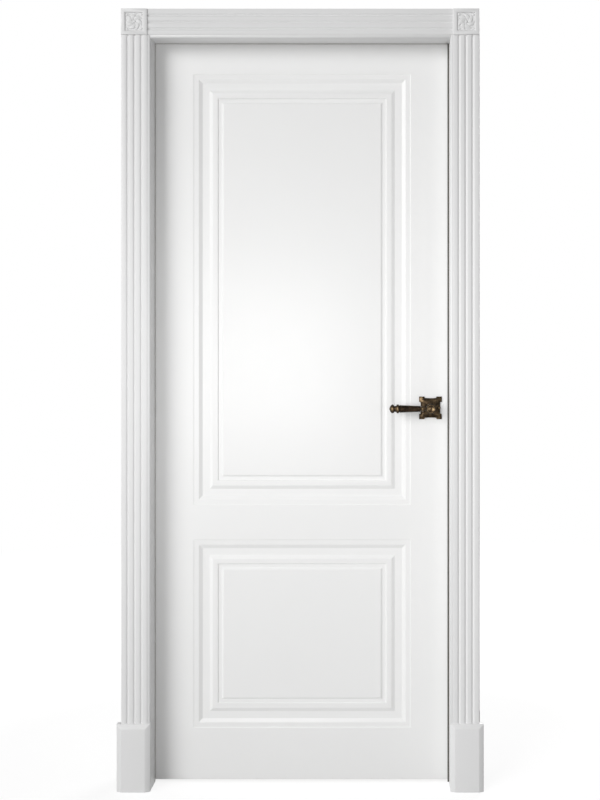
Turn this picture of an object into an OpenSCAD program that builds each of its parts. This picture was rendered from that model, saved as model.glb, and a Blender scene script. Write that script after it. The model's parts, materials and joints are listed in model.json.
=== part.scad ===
// Hinged interior door in its frame.
// X runs across the opening (hinges at -X), Y through the wall (leaf opens towards +Y), Z up.
// The origin is at floor level, in the middle of the opening and of the wall's thickness.

/* [Leaf] */
// Width of the leaf
leaf_w = 825; // [700:5:1000]
// Height of the leaf
leaf_h = 2030; // [1950:5:2200]
// Thickness of the leaf
leaf_t = 40; // [38:1:48]
// Thickness of each routed skin
skin_t = 10; // [9:0.5:11]
// Gap between the leaf's edges and the frame
edge_gap = 3; // [2.5:0.5:4]
// Gap under the leaf
floor_gap = 6; // [4:1:15]
// Leaf edge to panel moulding, at the sides
stile_w = 114; // [100:1:130]
// Leaf edge to panel moulding, at the top
top_rail_w = 92; // [80:1:120]
// Flat band between the two panels
lock_rail_w = 95; // [80:1:120]
// Leaf edge to panel moulding, at the bottom
bottom_rail_w = 142; // [100:1:200]
// Height of the lower panel over its moulding
lower_panel_h = 517; // [400:1:600]
// Width of the stiles and rails inside the leaf
inner_rail_w = 100; // [95:1:110]

/* [Panel moulding] */
// Width of the small step at the outer edge
outer_step_w = 2; // [1:0.5:3]
// Depth of the outer flat
outer_flat_depth = 1; // [0.5:0.1:1.5]
// Width of the outer flat
outer_flat_w = 12; // [8:0.5:14]
// Width of the slope into the channel
slope_in_w = 10.5; // [8:0.5:15]
// Depth of the channel
channel_depth = 6.5; // [4:0.5:7]
// Width of the channel's floor
channel_w = 19; // [10:0.5:22]
// Width of the slope out of the channel
slope_out_w = 9.5; // [8:0.5:15]
// Depth of the raised flat
raised_depth = 1.5; // [1:0.1:2]
// Width of the raised flat
raised_w = 13.5; // [8:0.5:16]
// Width of the drop into the quirk
quirk_drop_w = 2; // [1.5:0.5:4]
// Depth of the quirk
quirk_depth = 4; // [2.5:0.1:5]
// Width of the quirk's floor
quirk_w = 9; // [2:0.5:11]
// Width of the rise from the quirk to the field
field_rise_w = 5; // [4:0.5:12]
// Depth of the field
field_depth = 1; // [0.5:0.1:2]

/* [Frame] */
// Depth of the jambs through the wall
jamb_depth = 100; // [90:1:140]
// Thickness of the jambs behind the leaf's edge
jamb_wall = 32; // [28:1:40]
// How far the stop covers the leaf
stop_cover = 12; // [10:1:16]
// Leaf's back face to the jamb's back edge
leaf_inset = 1; // [0.5:0.5:3]
// Stop shoulder to the leaf's front face
seal_gap = 3; // [2.5:0.1:4]
// How far the seal shows past the stop
seal_show = 4; // [2:0.5:5]
// How far the pressed seals on the hinge side and at the head show past the stop
pressed_seal_show = 0.5; // [0:0.5:5]
// Width of the seal's root in its groove
seal_root_w = 3; // [2:0.5:4]
// Depth of the seal's root in its groove
seal_root_depth = 6; // [4:0.5:8]
// How far the jambs' nosing stands out beside the casing
nosing_t = 14.5; // [8:0.5:15.5]
// Bevel on the nosing's inner edge
nosing_bevel = 2; // [1:0.5:3]
// Diameter of the bracket holes in the jambs' outer faces
bracket_hole_d = 5; // [4:0.5:6]
// Depth of the bracket holes
bracket_hole_depth = 20; // [15:1:22]
// Height of the lowest bracket holes
bracket_low_z = 250; // [200:10:400]
// Spacing of the bracket holes
bracket_pitch = 550; // [400:10:600]

/* [Casing] */
// Width of the casing
casing_w = 70; // [60:1:80]
// Thickness of the casing
casing_t = 16; // [12:1:20]
// Bevel on the casing's front edges
casing_bevel = 1.5; // [1:0.5:2]
// Casing's inner edge to the stop, at the front
front_margin = 8; // [5:1:12]
// Casing's inner edge to the rebate, at the back
back_margin = 5; // [5:1:10]
// Outer edge to the first groove
groove_first = 17; // [10:0.5:20]
// Spacing of the grooves
groove_pitch = 18.5; // [14:0.5:20]
// Width of a groove
groove_w = 8.5; // [4:0.5:10]
// Depth of a groove
groove_depth = 3.5; // [2:0.5:5]
// Thickness of the corner blocks
block_t = 20; // [17:1:24]
// Width of a corner block's raised border
block_border = 10; // [8:0.5:12]
// Depth of a corner block's field
block_field_depth = 4; // [2:0.5:5]
// Height of the plinth blocks
plinth_h = 182; // [150:1:220]
// Thickness of the plinth blocks
plinth_t = 24; // [20:1:30]
// How far the front plinth blocks pass the casing's outer edge
plinth_pass = 12; // [5:1:15]
// How far the back plinth blocks pass the casing's outer edge
back_plinth_pass = 1; // [0:1:15]
// Back plinth's inner edge to the rebate
plinth_back_margin = 2; // [1:0.5:4]
// Width of the plinth's bevel
plinth_bevel_w = 13; // [8:0.5:16]
// Depth of the plinth's bevel
plinth_bevel_depth = 6; // [4:0.5:8]

/* [Hinges] */
// Height of a hinge
hinge_h = 100; // [90:1:120]
// Thickness of a hinge leaf
hinge_t = 2.5; // [2:0.5:3]
// How far a hinge leaf reaches over the door's edge
hinge_reach = 29; // [27:0.5:30]
// Pin axis behind the leaf's back face
hinge_stand = 8; // [7:0.5:10]
// Outer radius of the knuckles
knuckle_r = 5; // [4.5:0.1:5.2]
// Number of knuckles
knuckle_count = 5; // [3:2:7]
// Radius of the hinge pin
pin_r = 3; // [2.5:0.1:3.2]
// Leaf's top edge to the middle of the upper hinge
upper_hinge_drop = 200; // [150:5:300]
// Leaf's bottom edge to the middle of the lower hinge
lower_hinge_rise = 260; // [240:5:350]

/* [Latch] */
// Leaf's edge to the spindle
backset = 60; // [55:1:70]
// Latch bolt's middle above the spindle
latch_rise = 28; // [26:1:34]
// How far the bolt stands out of the leaf
bolt_throw = 11; // [10:0.5:12]
// Thickness of the bolt
bolt_t = 10; // [8:0.5:10]
// Height of the bolt
bolt_h = 18; // [14:1:20]
// Thickness of the latch case
case_t = 14; // [13.5:0.5:15]
// Thickness of the case's plates
case_wall = 1.5; // [1:0.1:1.7]
// Height of the forend
forend_h = 150; // [140:5:200]
// Width of the forend
forend_w = 18; // [16:1:19]
// Thickness of the forend
forend_t = 3; // [2:0.5:4]
// Height of the strike plate
strike_h = 90; // [80:5:120]
// Width of the strike plate
strike_w = 28; // [24:1:34]
// Thickness of the strike plate
strike_t = 2; // [1.5:0.5:3]

/* [Handle] */
// Height of the spindle above the floor
handle_z = 1027; // [950:1:1100]
// Width of the rose over its ears
rose_w = 62; // [54:1:66]
// Thickness of the rose's plate
rose_t = 8; // [7:0.5:10]
// Width of the rose's ears
rose_ear_w = 14; // [10:0.5:16]
// How far the rose's sides step in between the ears
rose_step = 4.5; // [3:0.5:6]
// Width of the rose's raised border
rose_border = 3.5; // [2:0.5:5]
// Depth of the rose's sunken field
rose_field_depth = 1.5; // [1:0.1:2]
// Height of the collar around the lever
rose_collar_h = 3; // [2:0.5:4]
// Thickness of the fixing plate under the rose
rose_plate_t = 2; // [1.5:0.5:3]
// Radius of the lever's neck
neck_r = 9; // [8:0.5:10]
// Leaf's face to the lever's axis
lever_stand = 47; // [42:1:52]
// Spindle to the lever's tip
lever_len = 113; // [100:1:125]
// Radius of the lever's round front boss
boss_r = 13.5; // [12:0.5:15]
// Spindle to the middle of the bead on the lever's arm
bead_at = 22.5; // [20:0.5:25]
// Radius of the bead on the lever's arm
bead_r = 7.6; // [6:0.1:9]
// Width of the bead
bead_w = 6; // [4:0.5:7]
// Radius of the grip at its start
grip_r_near = 8; // [6:0.1:9]
// Radius of the grip next to its ring
grip_r_far = 10.2; // [8.5:0.1:10.5]
// Radius of the ring and of the end knob
knob_r = 12; // [11:0.1:13]
// Length of the end knob
knob_len = 14; // [12:0.5:17]
// Width of the ring
ring_w = 7; // [5:0.5:9]
// Side of the square spindle
spindle_w = 8; // [7:0.5:9]

/* [Hidden] */
$fn = 48;

// Clearances
running = 0.05;
loose = 0.3;
snug = 0.1;
cut = 1;

// Colours
lacquer = [0.93, 0.93, 0.92];
pine = [0.80, 0.66, 0.45];
chipboard = [0.70, 0.58, 0.40];
zinc = [0.72, 0.73, 0.74];
bronze = [0.17, 0.13, 0.09];
seal_brown = [0.24, 0.21, 0.19];
black_plastic = [0.10, 0.10, 0.10];

// Frame lines
leaf_half = leaf_w / 2;
rebate_half = leaf_half + edge_gap;
stop_half = rebate_half - stop_cover;
jamb_outer = rebate_half + jamb_wall;
leaf_top = floor_gap + leaf_h;
rebate_top = leaf_top + edge_gap;
stop_top = rebate_top - stop_cover;
head_top = rebate_top + jamb_wall;
jamb_back = jamb_depth / 2;
jamb_front = -jamb_depth / 2;
leaf_back = jamb_back - leaf_inset;
leaf_front = leaf_back - leaf_t;
leaf_mid = (leaf_front + leaf_back) / 2;
core_front = leaf_front + skin_t;
core_t = leaf_t - 2 * skin_t;
stop_y = leaf_front - seal_gap;
head_screw_z = (rebate_top + head_top) / 2;
head_screw_ys = [(jamb_front + stop_y) / 2, (stop_y + jamb_back) / 2];
corner_screw_r = 2.5;
corner_screw_head_r = 5;
corner_screw_len = 80;
bracket_count = 4;

// Seal lines, measured from the stop and its shoulder
seal_t = seal_gap - loose;
seal_nose_r = seal_t / 2;
seal_back_gap = 1.8;
seal_flange_w = stop_cover - seal_back_gap;
seal_root_x = (stop_cover - seal_root_w) / 2;

// Casing lines
front_inner = stop_half + front_margin;
back_inner = rebate_half + back_margin;
front_head_z = stop_top + front_margin;
back_head_z = rebate_top + back_margin;
groove_count = 3;

// Corner block carving: each station of a whorl leaf is its turn, its reach as a share of the
// whorl's radius, and its ball as a share of the field's depth
block_field_w = casing_w - 2 * block_border;
whorl_leaves = 8;
whorl_margin = 3;
whorl_r = block_field_w / 2 - whorl_margin;
whorl_stations = [[0, 0.3, 0.55], [22, 0.65, 0.95], [58, 0.9, 0.45]];
corner_stations = [[0, 1.12, 0.5], [0, 1.34, 0.7]];
whorl_button_r = 5;

// Panel lines
panel_half = leaf_half - stile_w;
lower_panel_z0 = floor_gap + bottom_rail_w;
lower_panel_z1 = lower_panel_z0 + lower_panel_h;
upper_panel_z0 = lower_panel_z1 + lock_rail_w;
upper_panel_z1 = leaf_top - top_rail_w;
lock_rail_mid = (lower_panel_z1 + upper_panel_z0) / 2;

// The moulding's section as [width, end depth] steps from its outer edge to the field
moulding_steps = [
  [0, 0],
  [outer_step_w, outer_flat_depth],
  [outer_flat_w, outer_flat_depth],
  [slope_in_w, channel_depth],
  [channel_w, channel_depth],
  [slope_out_w, raised_depth],
  [raised_w, raised_depth],
  [quirk_drop_w, quirk_depth],
  [quirk_w, quirk_depth],
  [field_rise_w, field_depth]
];
function inset_at(i) = i == 0 ? 0 : inset_at(i - 1) + moulding_steps[i][0];

// Hinge lines
hinge_x = -leaf_half - edge_gap / 2;
hinge_y = leaf_back + hinge_stand;
lower_hinge_z = floor_gap + lower_hinge_rise;
upper_hinge_z = leaf_top - upper_hinge_drop;
middle_hinge_z = (lower_hinge_z + upper_hinge_z) / 2;
hinge_zs = [lower_hinge_z, middle_hinge_z, upper_hinge_z];
knuckle_h = (hinge_h - (knuckle_count - 1) * loose) / knuckle_count;
pin_head_h = 3;
pin_head_step = 0.5;
pin_head_r = knuckle_r - pin_head_step;
hinge_end = leaf_back - hinge_reach;
hinge_screw_r = 2;
hinge_screw_head_r = 4;
hinge_screw_len = 25;
hinge_screw_side = 6;
hinge_screw_end = 12;
hinge_screw_pitch = 23;
hinge_screw_ys = [core_front + hinge_screw_side, core_front + core_t - hinge_screw_side];
hinge_screw_rise = [hinge_h / 2 - hinge_screw_end - hinge_screw_pitch, hinge_h / 2 - hinge_screw_end];

// Latch lines
handle_x = leaf_half - backset;
latch_z = handle_z + latch_rise;
case_back_room = 22;
case_foot_room = 22;
case_head_room = 16;
case_x0 = handle_x - case_back_room;
case_x1 = leaf_half - forend_t;
case_z0 = handle_z - case_foot_room;
case_z1 = latch_z + case_head_room;
case_y0 = leaf_mid - case_t / 2;
case_y1 = leaf_mid + case_t / 2;
forend_mid_z = (case_z0 + case_z1) / 2;
forend_screw_end = 12;
forend_screw_rise = forend_h / 2 - forend_screw_end;
lever_limit = 40;
finger_len = 18.5;
finger_r = 3;
finger_gap = 0.7;
finger_t = 8;
bolt_travel = finger_len * sin(lever_limit);
bolt_inner_len = 19.5;
bolt_back = leaf_half - bolt_inner_len;
stem_r = 3;
guide_t = 3;
spring_squeezed = 6;
spring_len = bolt_travel + spring_squeezed;
guide_x = bolt_back - spring_len - guide_t;
lug_x = handle_x - finger_r - finger_gap;
lug_t = 3;
hub_r = 12;
lug_clear = 1;
lug_tip_rise = hub_r + lug_clear;
spring_wire_r = 0.6;
spring_r = case_t / 2 - case_wall - spring_wire_r - loose;
spring_turns = 4;
spring_steps = 14;
spring_sides = 8;
bolt_nose = 2;
journal_r = 9;
strike_box_depth = 15;
strike_box_wall = 1.5;
strike_play = 3;
strike_hole_t = bolt_t + strike_play;
strike_hole_h = bolt_h + strike_play;
strike_screw_end = 11;
strike_screw_rise = strike_h / 2 - strike_screw_end;
plate_screw_r = 2;
plate_screw_head_r = 3.8;
plate_screw_len = 22;

// Handle lines
rose_body_w = rose_w - 2 * rose_step;
rose_side_w = rose_w - 2 * rose_ear_w;
rose_hollow = 0.9;
rose_hollow_r = (rose_side_w * rose_side_w / 4 + rose_hollow * rose_hollow) / (2 * rose_hollow);
rose_rim_bevel = 2;
rose_collar_step = 0.5;
rose_collar_r = boss_r - rose_collar_step;
rose_field_w = rose_body_w - 2 * rose_border;
rose_plate_w = rose_field_w;
rose_screw_inset = 5;
rose_screw_at = rose_plate_w / 2 - rose_screw_inset;
rose_screw_r = 1.8;
rose_screw_head_r = 3.4;
rose_screw_len = 15;
neck_end = 0.5;
neck_flare = 6;
boss_half = 8;
boss_face_turn = 35;
boss_dish_r = 9;
boss_dish_depth = 2.5;
grip_step = 1;
arm_r = 4.4;
arm_groove = 2.5;
bead_end = bead_at + bead_w / 2;
grip_start = bead_end + arm_groove;
ring_round = 1.5;
ring_turn = 60;
knob_shoulder = 5;
knob_turn = 50;
knob_taper = 0.75;
knob_steps = 8;
knob_start = lever_len - knob_len;
knob_neck_r = 8.2;
knob_neck_len = 5.5;
ring_end = knob_start - knob_neck_len;
ring_start = ring_end - ring_w;
spindle_reach = 30;
grub_r = 2.5;
grub_lift = 7;
grub_sink = 0.5;
grub_at = rose_t + rose_collar_h + grub_lift;
skin_hole_play = 1.5;
skin_hole_r = neck_r + skin_hole_play;

// Countersunk screw: its flat head at the origin, its shank along +Z
module screw(r, head_r, len) {
  slot_w = r / 2;
  slot_l = 2 * r + slot_w;
  difference() {
    union() {
      cylinder(r1 = head_r, r2 = r, h = head_r - r);
      cylinder(r = r, h = len);
    }
    for (a = [0, 90])
      rotate(a) translate([-slot_l / 2, -slot_w / 2, -cut]) cube([slot_l, slot_w, cut + slot_w]);
  }
}

// What a screw needs in the piece that its head sits in
module screw_seat(r, head_r, len) {
  translate([0, 0, -cut]) cylinder(r = head_r + snug, h = cut);
  cylinder(r1 = head_r + snug, r2 = r + snug, h = head_r - r);
  cylinder(r = r + snug, h = len + snug);
}

// Places a piece drawn for the +X side at the -X side
module at_left() {
  mirror([1, 0, 0]) children();
}

// Places a handle piece drawn for the front of the leaf at its back
module at_leaf_back() {
  translate([0, 2 * leaf_mid, 0]) mirror([0, 1, 0]) children();
}

// Handle pieces are drawn with the leaf's face at Z = 0 and Z pointing away from it
module at_handle() {
  translate([handle_x, leaf_front, handle_z]) rotate([90, 0, 0]) children();
}

// Jambs

// Section of the seal: X is measured outwards from the stop, Y from its shoulder
module seal_section(show) {
  translate([-show + seal_nose_r, seal_nose_r]) circle(r = seal_nose_r);
  translate([-show + seal_nose_r, 0]) square([show - seal_nose_r + seal_flange_w, seal_t]);
  translate([seal_root_x, -seal_root_depth]) square([seal_root_w, seal_root_depth + seal_nose_r]);
}

module seal_groove() {
  translate([seal_root_x - snug, -seal_root_depth - snug])
    square([seal_root_w + 2 * snug, seal_root_depth + snug + cut]);
}

// Section of a side jamb for +X
module jamb_section() {
  difference() {
    union() {
      translate([stop_half, jamb_front]) square([jamb_outer - stop_half, stop_y - jamb_front]);
      translate([rebate_half, jamb_front]) square([jamb_wall, jamb_depth]);
    }
    translate([stop_half, stop_y]) seal_groove();
  }
}

// Section of the nosing: X from the stop, Y out from the jamb's front
module nosing_section() {
  polygon([
    [0, 0], [0, nosing_t - nosing_bevel], [nosing_bevel, nosing_t],
    [front_margin, nosing_t], [front_margin, 0]
  ]);
}

module bracket_holes() {
  for (i = [0:bracket_count - 1])
    translate([jamb_outer + cut, 0, bracket_low_z + i * bracket_pitch]) rotate([0, -90, 0])
      cylinder(d = bracket_hole_d, h = bracket_hole_depth + cut);
}

// The head's screws, for +X
module each_corner_screw() {
  for (y = head_screw_ys)
    translate([jamb_outer, y, head_screw_z]) rotate([0, -90, 0]) children();
}

module plain_jamb() {
  difference() {
    union() {
      linear_extrude(head_top) jamb_section();
      translate([stop_half, jamb_front, plinth_h]) linear_extrude(front_head_z - plinth_h)
        mirror([0, 1]) nosing_section();
    }
    bracket_holes();
    each_corner_screw() screw_seat(corner_screw_r, corner_screw_head_r, corner_screw_len);
  }
}

module hinge_jamb() {
  color(lacquer) difference() {
    at_left() plain_jamb();
    for (z = hinge_zs) {
      translate([-rebate_half - hinge_t - snug, hinge_end - snug, z - hinge_h / 2 - snug])
        cube([hinge_t + snug + cut, jamb_depth, hinge_h + 2 * snug]);
    }
    each_frame_screw() screw_seat(hinge_screw_r, hinge_screw_head_r, hinge_screw_len);
  }
}

module lock_jamb() {
  color(lacquer) difference() {
    plain_jamb();
    translate([rebate_half - cut, leaf_mid - strike_w / 2 - snug, latch_z - strike_h / 2 - snug])
      cube([strike_t + cut + snug, strike_w + 2 * snug, strike_h + 2 * snug]);
    strike_box_block(snug);
    each_strike_screw() screw_seat(plate_screw_r, plate_screw_head_r, plate_screw_len);
  }
}

module head_jamb() {
  color(lacquer) difference() {
    union() {
      translate([-stop_half, jamb_front, stop_top])
        cube([2 * stop_half, stop_y - jamb_front, head_top - stop_top]);
      translate([-rebate_half, stop_y, rebate_top])
        cube([2 * rebate_half, jamb_back - stop_y, jamb_wall]);
      head_run(2 * stop_half) translate([jamb_front, stop_top]) rotate(90) nosing_section();
    }
    head_run(2 * jamb_outer) translate([stop_y, stop_top]) rotate(90) mirror([0, 1]) seal_groove();
    for (side = [0, 1])
      mirror([side, 0, 0]) each_corner_screw()
        screw_seat(corner_screw_r, corner_screw_head_r, corner_screw_len);
  }
}

module jamb_corner_screws() {
  color(zinc) for (side = [0, 1])
    mirror([side, 0, 0]) each_corner_screw() screw(corner_screw_r, corner_screw_head_r, corner_screw_len);
}

// Seals

// Extrudes a section drawn in Y and Z along X, centred
module head_run(len) {
  translate([-len / 2, 0, 0]) rotate([90, 0, 90]) linear_extrude(len) children();
}

module side_seal(show) {
  color(seal_brown) linear_extrude(stop_top - pressed_seal_show)
    translate([stop_half, stop_y]) seal_section(show);
}

module hinge_side_seal() {
  at_left() side_seal(pressed_seal_show);
}

module lock_side_seal() {
  side_seal(seal_show);
}

module head_seal() {
  color(seal_brown) head_run(2 * stop_half)
    translate([stop_y, stop_top]) rotate(90) mirror([0, 1]) seal_section(pressed_seal_show);
}

// Casings

// Section of the casing: X from its inner edge, Y out from the wall
module casing_section() {
  grooves = [for (i = [0:groove_count - 1]) casing_w - groove_first - i * groove_pitch];
  polygon(concat(
    [[0, 0], [casing_w, 0], [casing_w, casing_t - casing_bevel], [casing_w - casing_bevel, casing_t]],
    [for (g = grooves) each [
      [g + groove_w / 2, casing_t], [g, casing_t - groove_depth], [g - groove_w / 2, casing_t]
    ]],
    [[casing_bevel, casing_t], [0, casing_t - casing_bevel]]
  ));
}

module front_side_casing() {
  color(lacquer) translate([front_inner, jamb_front, plinth_h])
    linear_extrude(front_head_z - plinth_h) mirror([0, 1]) casing_section();
}

module back_side_casing() {
  color(lacquer) translate([back_inner, jamb_back, plinth_h])
    linear_extrude(back_head_z - plinth_h) casing_section();
}

module front_left_casing() {
  at_left() front_side_casing();
}

module front_right_casing() {
  front_side_casing();
}

module back_left_casing() {
  at_left() back_side_casing();
}

module back_right_casing() {
  back_side_casing();
}

module front_head_casing() {
  color(lacquer) head_run(2 * front_inner)
    translate([jamb_front, front_head_z]) rotate(90) casing_section();
}

module back_head_casing() {
  color(lacquer) head_run(2 * back_inner)
    translate([jamb_back, back_head_z]) rotate(90) mirror([0, 1]) casing_section();
}

// A carved leaf: balls at its stations, joined in turn
module carved_leaf(stations) {
  for (i = [0:len(stations) - 2]) hull() for (s = [stations[i], stations[i + 1]])
    rotate(s[0]) translate([whorl_r * s[1], 0, 0]) sphere(r = block_field_depth * s[2], $fn = 12);
}

// Corner block, drawn flat: its inner lower corner at the origin, Z out from the wall
module corner_block() {
  mid = casing_w / 2;
  floor_z = block_t - block_field_depth;
  difference() {
    cube([casing_w, casing_w, block_t]);
    translate([block_border, block_border, floor_z])
      cube([block_field_w, block_field_w, block_field_depth + cut]);
  }
  translate([mid, mid, floor_z]) intersection() {
    union() {
      for (i = [0:whorl_leaves - 1]) rotate(i * 360 / whorl_leaves) carved_leaf(whorl_stations);
      for (a = [45:90:315]) rotate(a) carved_leaf(corner_stations);
      sphere(r = whorl_button_r, $fn = 16);
    }
    translate([-mid, -mid, -cut]) cube([casing_w, casing_w, block_field_depth + cut]);
  }
}

module front_block() {
  color(lacquer) translate([front_inner, jamb_front, front_head_z]) rotate([90, 0, 0]) corner_block();
}

module back_block() {
  color(lacquer) translate([back_inner, jamb_back, back_head_z])
    mirror([0, 1, 0]) rotate([90, 0, 0]) corner_block();
}

module front_left_corner_block() {
  at_left() front_block();
}

module front_right_corner_block() {
  front_block();
}

module back_left_corner_block() {
  at_left() back_block();
}

module back_right_corner_block() {
  back_block();
}

// Plinth block: X from its inner edge, Y out from the wall, bevelled at its sides and top
module plinth(w) {
  flat_t = plinth_t - plinth_bevel_depth;
  intersection() {
    linear_extrude(plinth_h) polygon([
      [0, 0], [w, 0], [w, flat_t], [w - plinth_bevel_w, plinth_t], [plinth_bevel_w, plinth_t], [0, flat_t]
    ]);
    rotate([90, 0, 90]) linear_extrude(w) polygon([
      [0, 0], [plinth_t, 0], [plinth_t, plinth_h - plinth_bevel_w], [flat_t, plinth_h], [0, plinth_h]
    ]);
  }
}

module front_plinth() {
  inner = stop_half;
  color(lacquer) translate([inner, jamb_front, 0]) mirror([0, 1, 0])
    plinth(front_inner + casing_w + plinth_pass - inner);
}

module back_plinth() {
  inner = rebate_half + plinth_back_margin;
  color(lacquer) translate([inner, jamb_back, 0]) plinth(back_inner + casing_w + back_plinth_pass - inner);
}

module front_left_plinth() {
  at_left() front_plinth();
}

module front_right_plinth() {
  front_plinth();
}

module back_left_plinth() {
  at_left() back_plinth();
}

module back_right_plinth() {
  back_plinth();
}

// Hinges

// One side of a hinge: side is 1 on the door, -1 on the frame, and first is its lowest knuckle
module hinge_leaf(side, first, z) {
  plate_x = side > 0 ? edge_gap / 2 : -edge_gap / 2 - hinge_t;
  pitch = knuckle_h + loose;
  translate([hinge_x, hinge_y, z - hinge_h / 2]) difference() {
    union() {
      difference() {
        translate([plate_x, hinge_end - hinge_y, 0]) cube([hinge_t, hinge_y - hinge_end, hinge_h]);
        for (i = [1 - first:2:knuckle_count - 1])
          translate([0, 0, i * pitch - loose]) cylinder(r = knuckle_r + loose, h = knuckle_h + 2 * loose);
      }
      for (i = [first:2:knuckle_count - 1])
        translate([0, 0, i * pitch]) cylinder(r = knuckle_r, h = knuckle_h);
    }
    translate([0, 0, -cut]) cylinder(r = pin_r + running, h = hinge_h + 2 * cut);
    translate([-hinge_x, -hinge_y, hinge_h / 2 - z]) hinge_screw_seats(side, z);
  }
}

module hinge_screw_seats(side, z) {
  one_hinge_screws(side, z) screw_seat(hinge_screw_r, hinge_screw_head_r, hinge_screw_len);
}

// Places children at the screws of one hinge, along +X into the door or -X into the jamb
module one_hinge_screws(side, z) {
  for (i = [0, 1]) for (up = [-1, 1])
    translate([side > 0 ? -leaf_half : -rebate_half, hinge_screw_ys[i], z + up * hinge_screw_rise[i]])
      rotate([0, side * 90, 0]) children();
}

module each_frame_screw() {
  for (z = hinge_zs) one_hinge_screws(-1, z) children();
}

module each_door_screw() {
  for (z = hinge_zs) one_hinge_screws(1, z) children();
}

module hinge_pin(z) {
  color(zinc) translate([hinge_x, hinge_y, z - hinge_h / 2]) {
    translate([0, 0, -loose - pin_head_h]) cylinder(r = pin_r, h = hinge_h + 2 * (loose + pin_head_h));
    for (end = [-loose - pin_head_h, hinge_h + loose])
      translate([0, 0, end]) cylinder(r = pin_head_r, h = pin_head_h);
  }
}

module lower_hinge_frame_leaf() {
  color(zinc) hinge_leaf(-1, 0, lower_hinge_z);
}

module middle_hinge_frame_leaf() {
  color(zinc) hinge_leaf(-1, 0, middle_hinge_z);
}

module upper_hinge_frame_leaf() {
  color(zinc) hinge_leaf(-1, 0, upper_hinge_z);
}

module lower_hinge_door_leaf() {
  color(zinc) hinge_leaf(1, 1, lower_hinge_z);
}

module middle_hinge_door_leaf() {
  color(zinc) hinge_leaf(1, 1, middle_hinge_z);
}

module upper_hinge_door_leaf() {
  color(zinc) hinge_leaf(1, 1, upper_hinge_z);
}

module lower_hinge_pin() {
  hinge_pin(lower_hinge_z);
}

module middle_hinge_pin() {
  hinge_pin(middle_hinge_z);
}

module upper_hinge_pin() {
  hinge_pin(upper_hinge_z);
}

module hinge_frame_screws() {
  color(zinc) each_frame_screw() screw(hinge_screw_r, hinge_screw_head_r, hinge_screw_len);
}

module hinge_door_screws() {
  color(zinc) each_door_screw() screw(hinge_screw_r, hinge_screw_head_r, hinge_screw_len);
}

// Leaf

// What the router takes out of a skin for one panel, with the face at Y = 0 and Y into the leaf
module panel_cut(z0, z1) {
  n = len(moulding_steps);
  rings = concat([[0, -cut]], [for (i = [0:n - 1]) [inset_at(i), moulding_steps[i][1]]]);
  points = [for (r = rings) each [
    [-panel_half + r[0], r[1], z0 + r[0]], [panel_half - r[0], r[1], z0 + r[0]],
    [panel_half - r[0], r[1], z1 - r[0]], [-panel_half + r[0], r[1], z1 - r[0]]
  ]];
  last = 4 * n;
  sides = [for (i = [0:n - 1]) for (k = [0:3])
    [4 * i + k, 4 * i + (k + 1) % 4, 4 * i + 4 + (k + 1) % 4, 4 * i + 4 + k]];
  polyhedron(points, concat([[3, 2, 1, 0]], sides, [[last, last + 1, last + 2, last + 3]]));
}

module skin() {
  difference() {
    translate([-leaf_half, leaf_front, floor_gap]) cube([leaf_w, skin_t, leaf_h]);
    translate([0, leaf_front, 0]) {
      panel_cut(lower_panel_z0, lower_panel_z1);
      panel_cut(upper_panel_z0, upper_panel_z1);
    }
    at_handle() {
      translate([0, 0, -skin_t - cut]) cylinder(r = skin_hole_r, h = skin_t + 2 * cut);
      each_rose_screw() translate([0, 0, -skin_t - cut])
        cylinder(r = rose_screw_r + snug, h = skin_t + 2 * cut);
    }
  }
}

module front_skin() {
  color(lacquer) skin();
}

module back_skin() {
  color(lacquer) difference() {
    at_leaf_back() skin();
    door_hinge_beds();
  }
}

// The beds of the hinge leaves in the door's edge
module door_hinge_beds() {
  for (z = hinge_zs)
    translate([-leaf_half - cut, hinge_end - snug, z - hinge_h / 2 - snug])
      cube([hinge_t + snug + cut, leaf_t, hinge_h + 2 * snug]);
}

module core_board(x0, x1, z0, z1) {
  translate([x0, core_front, z0]) cube([x1 - x0, core_t, z1 - z0]);
}

module hinge_stile() {
  color(pine) difference() {
    core_board(-leaf_half, -leaf_half + inner_rail_w, floor_gap, leaf_top);
    door_hinge_beds();
    each_door_screw() screw_seat(hinge_screw_r, hinge_screw_head_r, hinge_screw_len);
  }
}

module lock_stile() {
  color(pine) difference() {
    core_board(leaf_half - inner_rail_w, leaf_half, floor_gap, leaf_top);
    translate([case_x0 - snug, case_y0 - snug, case_z0 - snug])
      cube([case_x1 - case_x0 + 2 * snug, case_t + 2 * snug, case_z1 - case_z0 + 2 * snug]);
    forend_block(snug);
    each_forend_screw() screw_seat(plate_screw_r, plate_screw_head_r, plate_screw_len);
    at_handle() translate([0, 0, -leaf_t]) cylinder(r = skin_hole_r, h = leaf_t);
    rose_screw_holes();
    at_leaf_back() rose_screw_holes();
  }
}

// Holes for the rose screws of the front side
module rose_screw_holes() {
  at_handle() each_rose_screw() translate([0, 0, -rose_screw_len])
    cylinder(r = rose_screw_r + snug, h = rose_screw_len);
}

module rail(z0, z1) {
  core_board(-leaf_half + inner_rail_w, leaf_half - inner_rail_w, z0, z1);
}

module top_rail() {
  color(pine) rail(leaf_top - inner_rail_w, leaf_top);
}

module lock_rail() {
  color(pine) rail(lock_rail_mid - inner_rail_w / 2, lock_rail_mid + inner_rail_w / 2);
}

module bottom_rail() {
  color(pine) rail(floor_gap, floor_gap + inner_rail_w);
}

module upper_core() {
  color(chipboard) rail(lock_rail_mid + inner_rail_w / 2, leaf_top - inner_rail_w);
}

module lower_core() {
  color(chipboard) rail(floor_gap + inner_rail_w, lock_rail_mid - inner_rail_w / 2);
}

// Latch

module latch_hole_block() {
  translate([case_x1 - 2 * case_wall, leaf_mid - bolt_t / 2 - loose, latch_z - bolt_h / 2 - loose])
    cube([forend_t + 2 * case_wall + cut, bolt_t + 2 * loose, bolt_h + 2 * loose]);
}

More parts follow.
